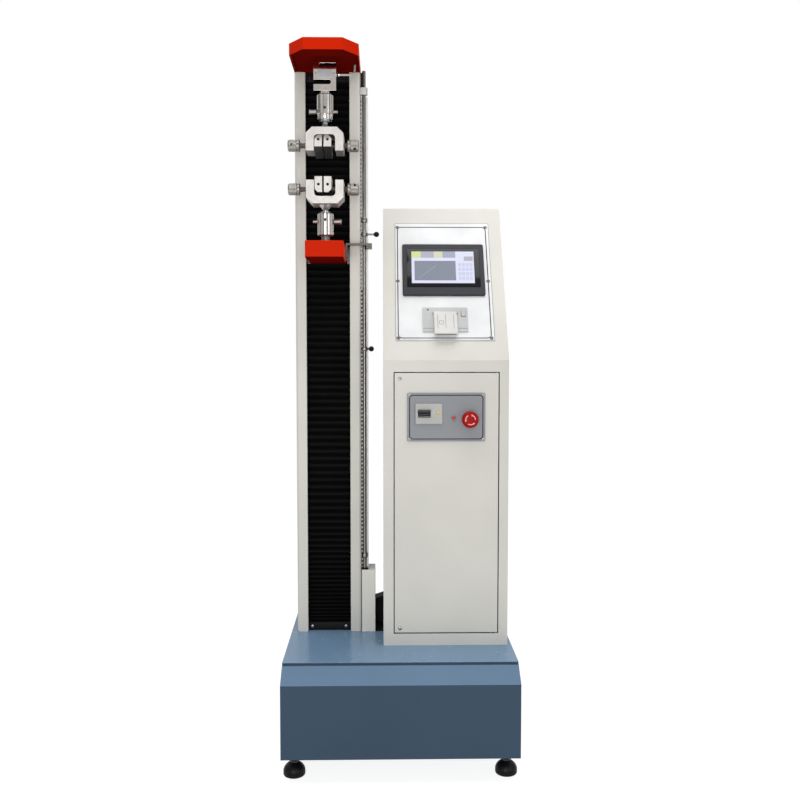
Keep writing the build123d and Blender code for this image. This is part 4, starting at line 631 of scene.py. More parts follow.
def fold_levels(bottom, top, pitch_low, pitch_high, settle):
    """Heights of the folds between two levels, close together at the bottom and wider above."""
    levels = [0.0]
    while levels[-1] < top - bottom:
        share = min(1.0, levels[-1] / settle)
        levels.append(levels[-1] + (pitch_low + (pitch_high - pitch_low) * share) / 2)
    if len(levels) % 2 == 0:
        levels.append(levels[-1] + pitch_high / 2)
    stretch = (top - bottom) / levels[-1]
    return [bottom + level * stretch for level in levels]


def new_vertices(result):
    """The vertices among what an extrusion made."""
    return [item for item in result["geom"] if isinstance(item, bmesh.types.BMVert)]


def concertina(levels, left, right, front, depth):
    """A pleated sheet through the fold levels, with rounded folds and a little thickness."""
    shape = bmesh.new()
    line = []
    for count, level in enumerate(levels):
        fold = front + FOLD_INSET if count % 2 == 0 else front + depth - FOLD_INSET
        line.append(shape.verts.new((left, fold, level)))
    folds = [shape.edges.new(pair) for pair in zip(line, line[1:])]
    swept = bmesh.ops.extrude_edge_only(shape, edges=folds)
    bmesh.ops.translate(shape, vec=(right - left, 0, 0), verts=new_vertices(swept))
    round_off(shape, [edge for edge in shape.edges if len(edge.link_faces) == 2], FOLD_RADIUS, 3)
    bmesh.ops.recalc_face_normals(shape, faces=shape.faces)
    bmesh.ops.solidify(shape, geom=shape.faces[:], thickness=CLOTH)
    return shape


print("folding helpers ready")

# %% Upper and lower guard
FLANGE_HEIGHT, FLANGE_SHEET = 20 * MM, 3 * MM
FLANGE_SCREWS = (14.5 * MM, 98.5 * MM)
CLOTH_GAP = 0.5 * MM


def guard(node, fixed_at_bottom, pitch_low, pitch_high, settle):
    """One length of pleated guard with its screwed flange."""
    low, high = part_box(node)
    if fixed_at_bottom:
        flange_z = (low.z, low.z + FLANGE_HEIGHT)
        pleat_z = (low.z + FLANGE_HEIGHT, high.z)
        screw_finish = screw_steel
    else:
        flange_z = (high.z - FLANGE_HEIGHT, high.z)
        pleat_z = (low.z, high.z - FLANGE_HEIGHT)
        screw_finish = flange_black
    levels = fold_levels(*pleat_z, pitch_low, pitch_high, settle)
    pleats = concertina(levels, low.x + CLOTH_GAP, high.x - CLOTH_GAP, low.y, high.y - low.y)
    plate = cuboid((low.x, low.y, flange_z[0]), (high.x, low.y + FLANGE_SHEET, flange_z[1]), 0.6 * MM)
    shapes = [(pleats, pleat_cloth), (plate, flange_black)]
    for inset in FLANGE_SCREWS:
        place = (low.x + inset, low.y, (flange_z[0] + flange_z[1]) / 2)
        shapes += dome_screw(place, FRONT, 4.2 * MM, 2.2 * MM, screw_finish)
    piece = assemble(f"{node}_pleats", None, shapes, smooth=40.0, even=False)
    if fixed_at_bottom:
        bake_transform(piece)
    else:
        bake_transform(piece)
    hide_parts(node)


guard("lower_guard", True, 8 * MM, 18 * MM, 0.30)
guard("upper_guard", False, 18 * MM, 18 * MM, 0.30)

# %% [markdown]
# ## Load cell and its lead
# The S-shaped cell is a milled block, so a softened copy is right for it. Its short lead leaves a gland
# on the right and goes up into the cap. A cord bends evenly, so it is a NURBS line with a round bevel.

# %% Lead on a NURBS line
LEAD_DIAMETER = 5 * MM
lead_route = [
    (-138, -106, 1598.5), (-122, -106, 1598.5), (-110, -86, 1604.5),
    (-104, -50, 1622.5), (-104, -48, 1654),
]
lead_line = bpy.data.curves.new("load_cell_lead_cord", "CURVE")
lead_line.dimensions = "3D"
lead_spline = lead_line.splines.new("NURBS")
lead_spline.points.add(len(lead_route) - 1)
for point, place in zip(lead_spline.points, lead_route):
    point.co = (*(c * MM for c in place), 1.0)
lead_spline.order_u = 3
lead_spline.use_endpoint_u = True
lead_line.resolution_u = 16
lead_line.bevel_depth = LEAD_DIAMETER / 2
lead_line.bevel_resolution = 4
lead_line.use_fill_caps = True
lead_line.materials.append(lead_jacket)
lead = bpy.data.objects.new("load_cell_lead_cord", lead_line)
bpy.context.scene.collection.objects.link(lead)
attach(lead, "frame")
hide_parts("load_cell_lead")

# %% Load cell
CELL_PLATE_X, CELL_PLATE_Z = 15 * MM, 9 * MM
CELL_SCREW_X = 20.5 * MM
GLAND_X = 27 * MM
cell_low, cell_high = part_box("load_cell")
cell_middle = (cell_low.z + cell_high.z) / 2
train_x, train_y = midpoint(*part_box("upper_yoke"))[:2]
cell_plate = cuboid(
    (train_x - CELL_PLATE_X, cell_low.y - 0.5 * MM, cell_middle - CELL_PLATE_Z),
    (train_x + CELL_PLATE_X, cell_low.y + 0.2 * MM, cell_middle + CELL_PLATE_Z), 0.2 * MM,
)
cell_parts = [(cell_plate, zinc_plate)]
for side in (-1, 1):
    screw_place = (train_x + side * CELL_SCREW_X, cell_low.y, cell_middle)
    cell_parts += dome_screw(screw_place, FRONT, 2.2 * MM, 1.2 * MM)
gland_outline = outline((3, 0), (5.6, 0), (6.2, 0.6), (6.2, 3.4), (5.6, 4), (3, 4), (3, 0))
gland_nut = turned(gland_outline, (train_x + GLAND_X, train_y, cell_middle), (1, 0, 0), 6)
cell_parts.append((gland_nut, black_plastic))
soften_node("load_cell", "frame", 0.7 * MM, nickel_plate, 2, cell_parts)

# %% [markdown]
# ## Pinned couplings
# A sleeve hangs under the load cell and another stands on the crosshead. Each takes the grip's shank and
# is held by a cross pin. The upper sleeve ends in a ring with spanner notches. The notches are cut with
# a Boolean modifier, whose result replaces the shape. A headless screw shows end on in each sleeve.


# %% Cutting helper
def cut(shape, tool):
    """Take one shape out of another and return what is left."""
    holders = []
    for name, source in (("cut_body", shape), ("cut_tool", tool)):
        mesh = bpy.data.meshes.new(name)
        source.to_mesh(mesh)
        source.free()
        holder = bpy.data.objects.new(name, mesh)
        bpy.context.scene.collection.objects.link(holder)
        holders.append(holder)
    work, knife = holders
    hole = work.modifiers.new("hole", "BOOLEAN")
    hole.operation = "DIFFERENCE"
    hole.solver = "EXACT"
    hole.object = knife
    bpy.context.view_layer.update()
    result = bpy.data.meshes.new_from_object(work.evaluated_get(bpy.context.evaluated_depsgraph_get()))
    left = bmesh.new()
    left.from_mesh(result)
    bpy.data.meshes.remove(result)
    for holder in holders:
        bpy.data.meshes.remove(holder.data)
    return left


def together(*shapes):
    """Several shapes as one bmesh."""
    whole = bmesh.new()
    for shape in shapes:
        pour(shape, whole)
    return whole


def set_screw(place, out, radius):
    """A headless screw seen end on: a thin steel rim round a black disc, painted shade for its socket."""
    sunk, proud = -0.6 * MM, 0.2 * MM
    inner = radius * 0.62
    rim = [(inner, sunk), (inner, proud), (radius, proud), (radius, sunk), (inner, sunk)]
    # The black socket disc sits at the surface: painted shade for the socket's depth.
    socket = [(0.0, 0.05 * MM), (radius * 0.66, 0.05 * MM), (radius * 0.66, sunk)]
    return [(turned(rim, place, out, 20), dark_steel), (turned(socket, place, out, 6), flange_black)]


print("cutting helpers ready")

# %% Sleeves and pins
SLEEVE_RADIUS = 19 * MM
RING_RADIUS = 17.5 * MM
NOTCHES = 6
SET_SCREW_RADIUS = 4.2 * MM
SLEEVE_SCREW_DROP = 40 * MM
FOOT_SCREW_DROP = 16 * MM
FOOT_NECK = 17.6 * MM
sleeve_low, sleeve_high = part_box("upper_coupling")
notches = []
for number in range(NOTCHES):
    notch = cuboid((RING_RADIUS - 2.6 * MM, -2 * MM, -1 * MM), (RING_RADIUS + 4 * MM, 2 * MM, 8 * MM))
    turn = Matrix.Rotation(math.radians(60 * number + 30), 4, "Z")
    notches.append(moved(notch, Matrix.Translation((train_x, train_y, sleeve_low.z)) @ turn))
upper_sleeve = cut(softened("upper_coupling", 0.5 * MM), together(*notches))
sleeve_screw_place = (train_x, train_y - SLEEVE_RADIUS, sleeve_high.z - SLEEVE_SCREW_DROP)
sleeve_screw = set_screw(sleeve_screw_place, FRONT, SET_SCREW_RADIUS)
assemble("upper_coupling_piece", "frame", [(upper_sleeve, turned_steel), *sleeve_screw], ["upper_coupling"])
foot_low, foot_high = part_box("lower_coupling")
foot_screw_place = (train_x, train_y - SLEEVE_RADIUS, foot_high.z - FOOT_SCREW_DROP)
foot_screw = set_screw(foot_screw_place, FRONT, SET_SCREW_RADIUS)
foot_sleeve = soften_node("lower_coupling", "crosshead", 0.5 * MM, turned_steel, 2, foot_screw)
refinish(foot_sleeve, dark_steel, lambda face: face.center.z < foot_low.z + FOOT_NECK)
for pin in ("upper_cross_pin", "lower_cross_pin"):
    soften_node(pin, pin, 0.5 * MM, cross_turned_steel)

# %% [markdown]
# ## Screw vice grips
# Each grip is a milled yoke with two jaws and two clamping screws. The yokes are softened copies, and so
# are the jaws, with grooves cut into their gripping faces. A screw is spun: a tip, a threaded stem and a
# knob. Every face of the knob's outer band is poked up to a small point, which makes a real knurl, and a
# hole for a tommy bar goes through it.


# %% Yokes and jaws
GROOVES = 14
GROOVE_HALF = 0.45 * MM
UPPER_SHANK_FOOT = 1473.4 * MM
LOWER_SHANK_TOP = 1299.6 * MM
HOLE_SHADE_RADIUS, HOLE_SHADE_RISE = 3.2 * MM, 8.4 * MM


def serrated(node, side):
    """A softened jaw with fine cross grooves milled into its gripping face."""
    low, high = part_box(node)
    face = high.x if side > 0 else low.x
    tilt = Matrix.Rotation(math.radians(45), 4, "Y")
    cutters = []
    for groove in range(GROOVES):
        height = low.z + (high.z - low.z) * (groove + 1) / (GROOVES + 1)
        bar = cuboid(
            (-GROOVE_HALF, low.y - 1 * MM, -GROOVE_HALF), (GROOVE_HALF, high.y + 1 * MM, GROOVE_HALF)
        )
        cutters.append(moved(bar, Matrix.Translation((face, 0, height)) @ tilt))
    return cut(softened(node, 0.8 * MM), together(*cutters))


def hole_shade_disc(node):
    """A black disc in the hole on a jaw's front, painted shade for its depth: the hole's round floor, brought
    up near its mouth.
    """
    shape = softened(node, 0.0)
    floor = min((face for face in shape.faces if len(face.verts) > 11), key=lambda face: face.calc_area())
    place = floor.calc_center_median()
    out = floor.normal.copy()
    shape.free()
    socket = [(0.0, HOLE_SHADE_RISE), (HOLE_SHADE_RADIUS, HOLE_SHADE_RISE), (HOLE_SHADE_RADIUS, 1 * MM)]
    return turned(socket, place, out, 24)


upper_yoke = soften_node("upper_yoke", "frame", 1.6 * MM, satin_steel, 3)
refinish(upper_yoke, ground_steel, lambda face: face.center.z > UPPER_SHANK_FOOT)
lower_yoke = soften_node("lower_yoke", "crosshead", 1.6 * MM, satin_steel, 3)
refinish(lower_yoke, ground_steel, lambda face: face.center.z < LOWER_SHANK_TOP)
for level in ("upper", "lower"):
    for hand, side in (("left", 1), ("right", -1)):
        jaw = f"{level}_{hand}_jaw"
        # Each jaw hole holds a black disc: painted shade in the hole.
        shapes = [(serrated(jaw, side), satin_steel), (hole_shade_disc(jaw), flange_black)]
        block = assemble(f"{jaw}_piece", jaw, shapes, [jaw])
        # Undersides of the jaws get the darker hardened steel: painted shade.
        refinish(block, dark_steel, looks_down)


# %% Clamping screws
SCREW_TIP = outline((0, 0), (3.9, 0), (4.5, 0.6), (4.5, 8.3), (6.2, 8.4))
SCREW_START, SCREW_PITCH = 9 * MM, 1.5 * MM
SCREW_CREST, SCREW_ROOT, SCREW_SHANK = 6.25 * MM, 5.55 * MM, 6.2 * MM
KNOB_NECK = ((2, 0), (0, 2), (0, 4), (1.2, 5.2), (1.2, 6.8))
KNOB_END = ((2.2, 0), (4.5, 0), (5, 0.6))
KNURL_ROWS, KNURL_DEPTH = 8, 0.35 * MM
KNURL_FROM_NECK, KNURL_FROM_END = 8 * MM, 2.4 * MM
BAR_HOLE_RADIUS = 3.5 * MM
BAR_TILT = math.radians(50)


def clamping_screw(node, out, bar_way):
    """A threaded stem with a knurled knob that points outwards and a bar hole that runs along bar_way."""
    low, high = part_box(node)
    radius = (high.z - low.z) / 2
    length = high.x - low.x
    start = length - 2 * radius
    profile = SCREW_TIP[:]
    for turn in range(int((start - SCREW_START) / SCREW_PITCH)):
        height = SCREW_START + turn * SCREW_PITCH
        profile += [(SCREW_CREST, height), (SCREW_ROOT, height + SCREW_PITCH / 2)]
    profile.append((SCREW_SHANK, start))
    profile += [(radius - inset * MM, start + rise * MM) for inset, rise in KNOB_NECK]
    band = (start + KNURL_FROM_NECK, length - KNURL_FROM_END)
    for row in range(KNURL_ROWS + 1):
        profile.append((radius - KNURL_DEPTH, band[0] + (band[1] - band[0]) * row / KNURL_ROWS))
    profile += [(radius - inset * MM, length - drop * MM) for inset, drop in KNOB_END]
    profile.append((0.0, length - 0.6 * MM))
    shape = turned(profile, (0, 0, 0), UP, 44)
    knurl = []
    for face in shape.faces:
        place = face.calc_center_median()
        if band[0] < place.z < band[1] and place.xy.length > radius - 0.6 * MM:
            knurl.append(face)
    bmesh.ops.poke(shape, faces=knurl, offset=KNURL_DEPTH)
    inner = low.x if out > 0 else high.x
    axis = Vector((inner, (low.y + high.y) / 2, (low.z + high.z) / 2))
    moved(shape, Matrix.Translation(axis) @ Matrix.Rotation(math.radians(90 * out), 4, "Y"))
    hole_place = axis + Vector((out * (band[0] + length) / 2, 0, 0))
    reach = 2 * radius
    bar_hole = [(0.0, -reach), (BAR_HOLE_RADIUS, -reach), (BAR_HOLE_RADIUS, reach), (0.0, reach)]
    shape = cut(shape, turned(bar_hole, hole_place, bar_way, 24))
    assemble(f"{node}_piece", node, [(shape, cross_turned_steel)], [node], 25.0, False)


tilt_y = math.sin(BAR_TILT)
tilt_z = math.cos(BAR_TILT)
clamping_screw("upper_left_clamp", -1, (0, 1, 0))
clamping_screw("upper_right_clamp", 1, (0, -tilt_y, -tilt_z))
clamping_screw("lower_left_clamp", -1, (0, 0, 1))
clamping_screw("lower_right_clamp", 1, (0, -tilt_y, tilt_z))

# %% [markdown]
# ## Crosshead and limit gear
# The orange arm slides up and down and carries a bent striker. Where the striker meets a stop on the
# long rod, the rod lifts a switch and the machine stops. A stop is a collar with a short lever and a
# ball to grip, all of it spun. So are the rod with its rounded collars and the ribbed rubber boot on
# the guide at the rod's top.

# %% Crosshead arm and striker
arm = soften_node("crosshead_arm", "crosshead", 1.2 * MM, orange_paint, 3)
# The arm's underside gets the dark orange: painted shade.
refinish(arm, orange_painted_shade, looks_down)
# The striker gets the darker steel: painted shade.
soften_node("striker_arm", "crosshead", 0.6 * MM, striker_steel_painted_shade)

# %% Rod guide with its boot
BOOT_RINGS, BOOT_PITCH, BOOT_HEIGHT = 11, 3.1, 34.2 * MM
BOOT_RIB = ((2.3, 0), (2.8, 0.5), (2.8, 2.4), (2.3, 2.9))
BOOT_FROM_COLUMN = (3.4 * MM, 3.2 * MM)
guide_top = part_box("rod_guide")[1].z
column_low, column_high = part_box("column_profile")
boot = [(0.0, 0.0)]
for ring in range(BOOT_RINGS):
    foot = BOOT_PITCH * ring * MM
    boot += [(radius * MM, foot + rise * MM) for radius, rise in BOOT_RIB]
boot.append((0.0, BOOT_HEIGHT))
boot_place = (column_high.x + BOOT_FROM_COLUMN[0], column_low.y + BOOT_FROM_COLUMN[1], guide_top)
boot_shape = turned(boot, boot_place, UP, 20)
soften_node("rod_guide", "frame", 0.7 * MM, satin_steel, 2, [(boot_shape, rubber)])

# %% Limit rod and switch box
ROD_RADIUS, ROD_EDGE = 4.4 * MM, 1.1 * MM
COLLAR_FEET = (447 * MM, 1272.6 * MM)
COLLAR_OUTLINE = outline(
    (4.5, 0), (5.4, 0), (6.7, 1.5), (7.4, 4), (7.5, 6.5), (7.4, 9), (6.7, 11.5), (5.4, 13),
    (4.5, 13), (4.5, 0),
)
GROMMET_OUTLINE = outline((5.6, 0), (9.5, 0), (9.5, 2), (8, 3.4), (5.6, 3.4), (5.6, 0))
rod_low, rod_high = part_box("limit_rod")
ROD_AXIS = Vector((*midpoint(rod_low, rod_high)[:2], 0.0))
rod_outline = [(0.0, rod_low.z), (ROD_RADIUS - ROD_EDGE, rod_low.z), (ROD_RADIUS, rod_low.z + ROD_EDGE)]
rod_outline += [(ROD_RADIUS, rod_high.z - ROD_EDGE), (ROD_RADIUS - ROD_EDGE, rod_high.z), (0.0, rod_high.z)]
rod_shapes = [(turned(rod_outline, ROD_AXIS, UP, 32), drawn_steel)]
for foot in COLLAR_FEET:
    rod_shapes.append((turned(COLLAR_OUTLINE, ROD_AXIS + Vector((0, 0, foot)), UP, 36), drawn_steel))
assemble("limit_rod_piece", "limit_rod", rod_shapes, ["limit_rod"])
box_low, box_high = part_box("switch_box")
grommet = turned(GROMMET_OUTLINE, (ROD_AXIS.x, ROD_AXIS.y, box_high.z), UP, 32)
# The switch box gets the lighter cream: painted light.
soften_node("switch_box", "frame", 0.8 * MM, switch_box_painted_light, 2, [(grommet, rubber)])


# %% Rod stops
STOP_RING = outline(
    (4.5, -5.2), (5.8, -5.2), (6.8, -4.3), (7.5, -2.4), (7.5, 2.4), (6.8, 4.3), (5.8, 5.2),
    (4.5, 5.2), (4.5, -5.2),
)
STOP_LEVER = outline((0, 6.8), (3.2, 6.8), (3.2, 9), (2.25, 9.6), (2.25, 25))
BALL_RADIUS, BALL_REACH = 6.5 * MM, 30 * MM


def ball_stop(node, turn):
    """A collar with a lever and a ball, the lever turned from +X."""
    low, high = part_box(node)
    place = ROD_AXIS + Vector((0, 0, (low.z + high.z) / 2))
    along = Vector((math.cos(math.radians(turn)), math.sin(math.radians(turn)), 0.0))
    ball = outline((0, 23.5), (3.2, 23.5))
    for step in range(5, 19):
        angle = math.radians(step * 10)
        ball.append((BALL_RADIUS * math.sin(angle), BALL_REACH - BALL_RADIUS * math.cos(angle)))
    shapes = [(turned(STOP_RING, place, UP, 36), drawn_steel)]
    shapes.append((turned(STOP_LEVER, place, along, 20), dark_steel))
    shapes.append((turned(ball, place, along, 28), flange_black))
    assemble(f"{node}_piece", node, shapes, [node])


ball_stop("upper_stop", 0.0)
ball_stop("lower_stop", -55.0)

# %% [markdown]
# ## Steel rule
# The rule beside the rod is printed with millimetre ticks. Below a set height the shader also lays a row of
# wide black bars, one to the centimetre, which makes that stretch darker. A print has no height, so it is
# drawn
# in the shader: the height is cut into millimetres, fives and tens, and each sort of mark has its own reach
# across the rule.

# %% Rule with ticks
RULE_WHITE, RULE_BLACK = srgb(236, 235, 233), srgb(40, 40, 42)
RULE_TOP = 2000 * MM
WIDE_BARS_TOP = 690 * MM
rule_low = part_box("scale_rule")[0]
rule_finish = new_finish("printed_rule", RULE_WHITE, 0.38)
polish(rule_finish, grain(rule_finish, 500.0, 2.0, (1.0, 1.0, 0.05)), 0.26, 0.44)
rule_axes = add_node(rule_finish, "ShaderNodeSeparateXYZ")
join(rule_finish, place_of(rule_finish), rule_axes.inputs["Vector"])
rule_graph = rule_finish.node_tree
rule_height = arithmetic(rule_graph, "SUBTRACT", rule_axes.outputs["Z"], rule_low.z)
rule_across = arithmetic(rule_graph, "SUBTRACT", rule_axes.outputs["X"], rule_low.x)
rule_marks = (
    (1 * MM, 0.1 * MM, 0.0, 1.2 * MM, RULE_TOP),
    (5 * MM, 1.0 * MM, 0.0, 1.8 * MM, RULE_TOP),
    (10 * MM, 3.6 * MM, 0.0, 2.4 * MM, RULE_TOP),
    # The last row lays wide black bars below WIDE_BARS_TOP, which darkens that stretch.
    (10 * MM, 6.0 * MM, 0.9 * MM, 6.2 * MM, WIDE_BARS_TOP),
)
ticks = None
for spacing, thickness, start, reach, top in rule_marks:
    along = arithmetic(rule_graph, "FLOORED_MODULO", rule_height, spacing)
    inside = arithmetic(rule_graph, "LESS_THAN", rule_across, reach)
    beyond = arithmetic(rule_graph, "GREATER_THAN", rule_across, start)
    width = arithmetic(rule_graph, "MULTIPLY", inside, beyond)
    below = arithmetic(rule_graph, "LESS_THAN", rule_height, top)
    inked = arithmetic(rule_graph, "LESS_THAN", along, thickness)
    length = arithmetic(rule_graph, "MULTIPLY", inked, below)
    line = arithmetic(rule_graph, "MULTIPLY", length, width)
    ticks = line if ticks is None else arithmetic(rule_graph, "MAXIMUM", ticks, line)
tint(rule_finish, ticks, RULE_WHITE, RULE_BLACK, 0.4, 0.6)
rule = soften_node("scale_rule", "frame", 0.2 * MM, rule_finish)
refinish(rule, ground_steel, lambda face: face.normal.y > -0.5)

# %% [markdown]
# ## Cabinet and door
# The cabinet is folded from sheet, so its edges are round with the radius of the press tool. The door
# hangs in its front with two flush screws, and the faces on both sides of its gap get black rubber, painted
# shade in the gap. The back gets the screwed service plate and the louvres that let the drive's heat out.

# %% Service plate and louvres of the back
SERVICE_INSET, SERVICE_FOOT, SERVICE_TOP, SERVICE_SHEET = 22 * MM, 0.44, 1.27, 1.4 * MM
SERVICE_SCREW_INSET, SERVICE_SCREWS_Z = 32 * MM, (0.455, 0.855, 1.255)
LOUVRE_ROWS, LOUVRE_FOOT, LOUVRE_PITCH, LOUVRE_X = 9, 1.06, 18 * MM, 52 * MM
LOUVRE_OUTLINE = outline((0, -38), (3.5, -36), (4.5, -32), (4.5, 32), (3.5, 36), (0, 38))
LOUVRE_SHADE_X, LOUVRE_SHADE_LOW, LOUVRE_SHADE_HIGH = 33 * MM, 7 * MM, 3.5 * MM
shell_low, shell_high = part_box("cabinet_shell")
rear_y = shell_high.y
sheet_y = rear_y + SERVICE_SHEET
service_plate = cuboid(
    (shell_low.x + SERVICE_INSET, rear_y - 0.5 * MM, SERVICE_FOOT),
    (shell_high.x - SERVICE_INSET, sheet_y, SERVICE_TOP), 0.6 * MM,
)
back_parts = [(service_plate, cream_paint)]
for screw_x in (shell_low.x + SERVICE_SCREW_INSET, shell_high.x - SERVICE_SCREW_INSET):
    for screw_z in SERVICE_SCREWS_Z:
        back_parts += dome_screw((screw_x, sheet_y, screw_z), (0, 1, 0), 4 * MM, 2 * MM)
back_middle = (shell_low.x + shell_high.x) / 2
for row in range(LOUVRE_ROWS):
    for column in (-1, 1):
        louvre_x = back_middle + column * LOUVRE_X
        louvre_z = LOUVRE_FOOT + row * LOUVRE_PITCH
        hood = turned(LOUVRE_OUTLINE, (louvre_x, sheet_y, louvre_z), (1, 0, 0), 20)
        bmesh.ops.bisect_plane(
            hood, geom=hood.verts[:] + hood.edges[:] + hood.faces[:], plane_co=(0, rear_y + 1.0 * MM, 0),
            plane_no=FRONT, clear_outer=True,
        )
        # A black strip under each hood: painted shade in the louvre's opening.
        slot = cuboid(
            (louvre_x - LOUVRE_SHADE_X, sheet_y - 0.1 * MM, louvre_z - LOUVRE_SHADE_LOW),
            (louvre_x + LOUVRE_SHADE_X, sheet_y + 0.1 * MM, louvre_z - LOUVRE_SHADE_HIGH),
        )
        back_parts += [(hood, cream_paint), (slot, black_plastic)]
print("back of the cabinet with", len(back_parts), "shapes")

# %% Cabinet shell
RIM_WIDTH, RIM_DEPTH = 4 * MM, 20 * MM
shell = soften_node("cabinet_shell", "frame", 1.5 * MM, cream_paint, 3, back_parts)
door_low, door_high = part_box("cabinet_door")


def on_door_gap_shade(face):
    """Faces of the doorway's edge, which get black rubber as painted shade in the door gap."""
    place = face.center
    beside = door_low.x - RIM_WIDTH < place.x < door_high.x + RIM_WIDTH
    level = door_low.z - RIM_WIDTH < place.z < door_high.z + RIM_WIDTH
    return beside and level and place.y < shell_low.y + RIM_DEPTH and abs(face.normal.y) < 0.85


# The doorway's edge faces get black rubber: painted shade in the door gap.
refinish(shell, rubber, on_door_gap_shade)

# %% Door
DOOR_SCREWS = ((0.5 * MM, 897 * MM), (1.0 * MM, 305 * MM))
door_screws = []
for screw_x, screw_z in DOOR_SCREWS:
    door_screws += dome_screw((screw_x, shell_low.y, screw_z), FRONT, 4.4 * MM, 1.4 * MM)
door = soften_node("cabinet_door", "door", 1.0 * MM, cream_paint, 3, door_screws)
# The door's edge faces get black rubber: painted shade in the door gap.
refinish(door, rubber, lambda face: abs(face.normal.y) < 0.75)

# %% [markdown]
# ## Power panel
# A grey plate on the door holds a circuit breaker, a lamp and the stop button. The breaker's case and
# toggle are softened copies. The mushroom head is spun, and three arrows on it show which way it turns.


# %% Plate with its border line
def raised(shape, height):
    """Flat faces pushed up into a thin solid."""
    top = bmesh.ops.extrude_face_region(shape, geom=shape.faces[:])
    bmesh.ops.translate(shape, vec=(0, 0, height), verts=new_vertices(top))
    bmesh.ops.recalc_face_normals(shape, faces=shape.faces)
    return shape


def line_frame(low, high, thickness, corner, height):
    """A thin raised line round a rectangle with rounded corners, flat on the local XY plane."""
    shape = bmesh.new()
    bmesh.ops.create_grid(shape, x_segments=1, y_segments=1, size=0.5)
    size = (high[0] - low[0], high[1] - low[1])
    moved(shape, Matrix.Translation((*midpoint(low, high), 0.0)) @ Matrix.Diagonal((*size, 1.0, 1.0)))
    round_off(shape, shape.verts[:], corner, 3, "VERTICES")
    plate = shape.faces[:]
    bmesh.ops.inset_region(shape, faces=plate, thickness=thickness, use_even_offset=True, use_boundary=True)
    bmesh.ops.delete(shape, geom=plate, context="FACES_ONLY")
    return raised(shape, height)


BORDER_INSET, SCREW_INSET = 4.8 * MM, 5 * MM
plate_low, plate_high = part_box("power_panel")
upright = Matrix.Translation((0, plate_low.y, 0)) @ Matrix.Rotation(math.radians(90), 4, "X")
border = line_frame(
    (plate_low.x + BORDER_INSET, plate_low.z + BORDER_INSET),
    (plate_high.x - BORDER_INSET, plate_high.z - BORDER_INSET), 2.0 * MM, 8 * MM, 0.15 * MM,
)
plate_parts = [(moved(border, upright), engraved)]
for screw_x in (plate_low.x + SCREW_INSET, plate_high.x - SCREW_INSET):
    for screw_z in (plate_low.z + SCREW_INSET, plate_high.z - SCREW_INSET):
        plate_parts += dome_screw((screw_x, plate_low.y, screw_z), FRONT, 3.3 * MM, 1.4 * MM, satin_steel)
soften_node("power_panel", "door", 0.6 * MM, grey_paint, 2, plate_parts)

# %% Breaker, toggle and test button
soften_node("circuit_breaker", "door", 0.8 * MM, breaker_plastic)
soften_node("breaker_toggle", "breaker_toggle", 0.8 * MM, black_plastic)
soften_node("breaker_test_button", "breaker_test_button", 0.5 * MM, yellow_plastic)
soften_node("stop_button_base", "door", 0.7 * MM, black_plastic)
soften_node("stop_button_stem", "stop_button_stem", 0.4 * MM, red_plastic)

# %% Indicator lamp
LAMP_RIM = outline((4, 0), (5.5, 0), (5.5, 1.2), (5, 1.7), (4, 1.7), (4, 0))
LAMP_LENS = outline((4, -1), (4, 2), (3.6, 3), (2.6, 3.7), (1.3, 4), (0, 4))
LAMP_BARREL = outline((0, -26), (3.6, -26), (3.9, -25), (3.9, -1))
lamp_middle = midpoint(*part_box("indicator_lamp"))
lamp_place = (lamp_middle[0], plate_low.y, lamp_middle[2])
lamp_shapes = [
    (turned(LAMP_RIM, lamp_place, FRONT, 32), dark_steel),
    (turned(LAMP_LENS, lamp_place, FRONT, 28), lamp_lens),
    (turned(LAMP_BARREL, lamp_place, FRONT, 24), black_plastic),
]
assemble("indicator_lamp_piece", "door", lamp_shapes, ["indicator_lamp"])

# %% Stop button head
HEAD_BACK = ((1.5, 0), (0.3, 1.2), (0, 3))
HEAD_CROWN = ((0, 6), (0.8, 3.4), (2.6, 1.4), (5, 0.5))
HEAD_DISH = ((8 * MM, 0.3 * MM), (7.2 * MM, 0.9 * MM), (0.0, 0.7 * MM))
ARROW_BAND, ARROW_SWEEP = (10 * MM, 12.4 * MM), math.radians(62)
ARROW_TIP, ARROW_TIP_TURN, ARROW_TIP_RADIUS = 3.2 * MM, math.radians(70), 11.2 * MM
ARROW_HEIGHT, ARROW_SINK = 0.35 * MM, 0.45 * MM
head_low, head_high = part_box("stop_button_head")
head_radius = (head_high.x - head_low.x) / 2
head_height = head_high.y - head_low.y
head_middle = midpoint(head_low, head_high)
head_x, head_z = head_middle[0], head_middle[2]
head_profile = [(0.0, 0.0)]
head_profile += [(head_radius - inset * MM, rise * MM) for inset, rise in HEAD_BACK]
head_profile += [(head_radius - inset * MM, head_height - drop * MM) for inset, drop in HEAD_CROWN]
head_profile += [(radius, head_height - drop) for radius, drop in HEAD_DISH]
head_shapes = [(turned(head_profile, (head_x, head_high.y, head_z), FRONT, 56), red_plastic)]
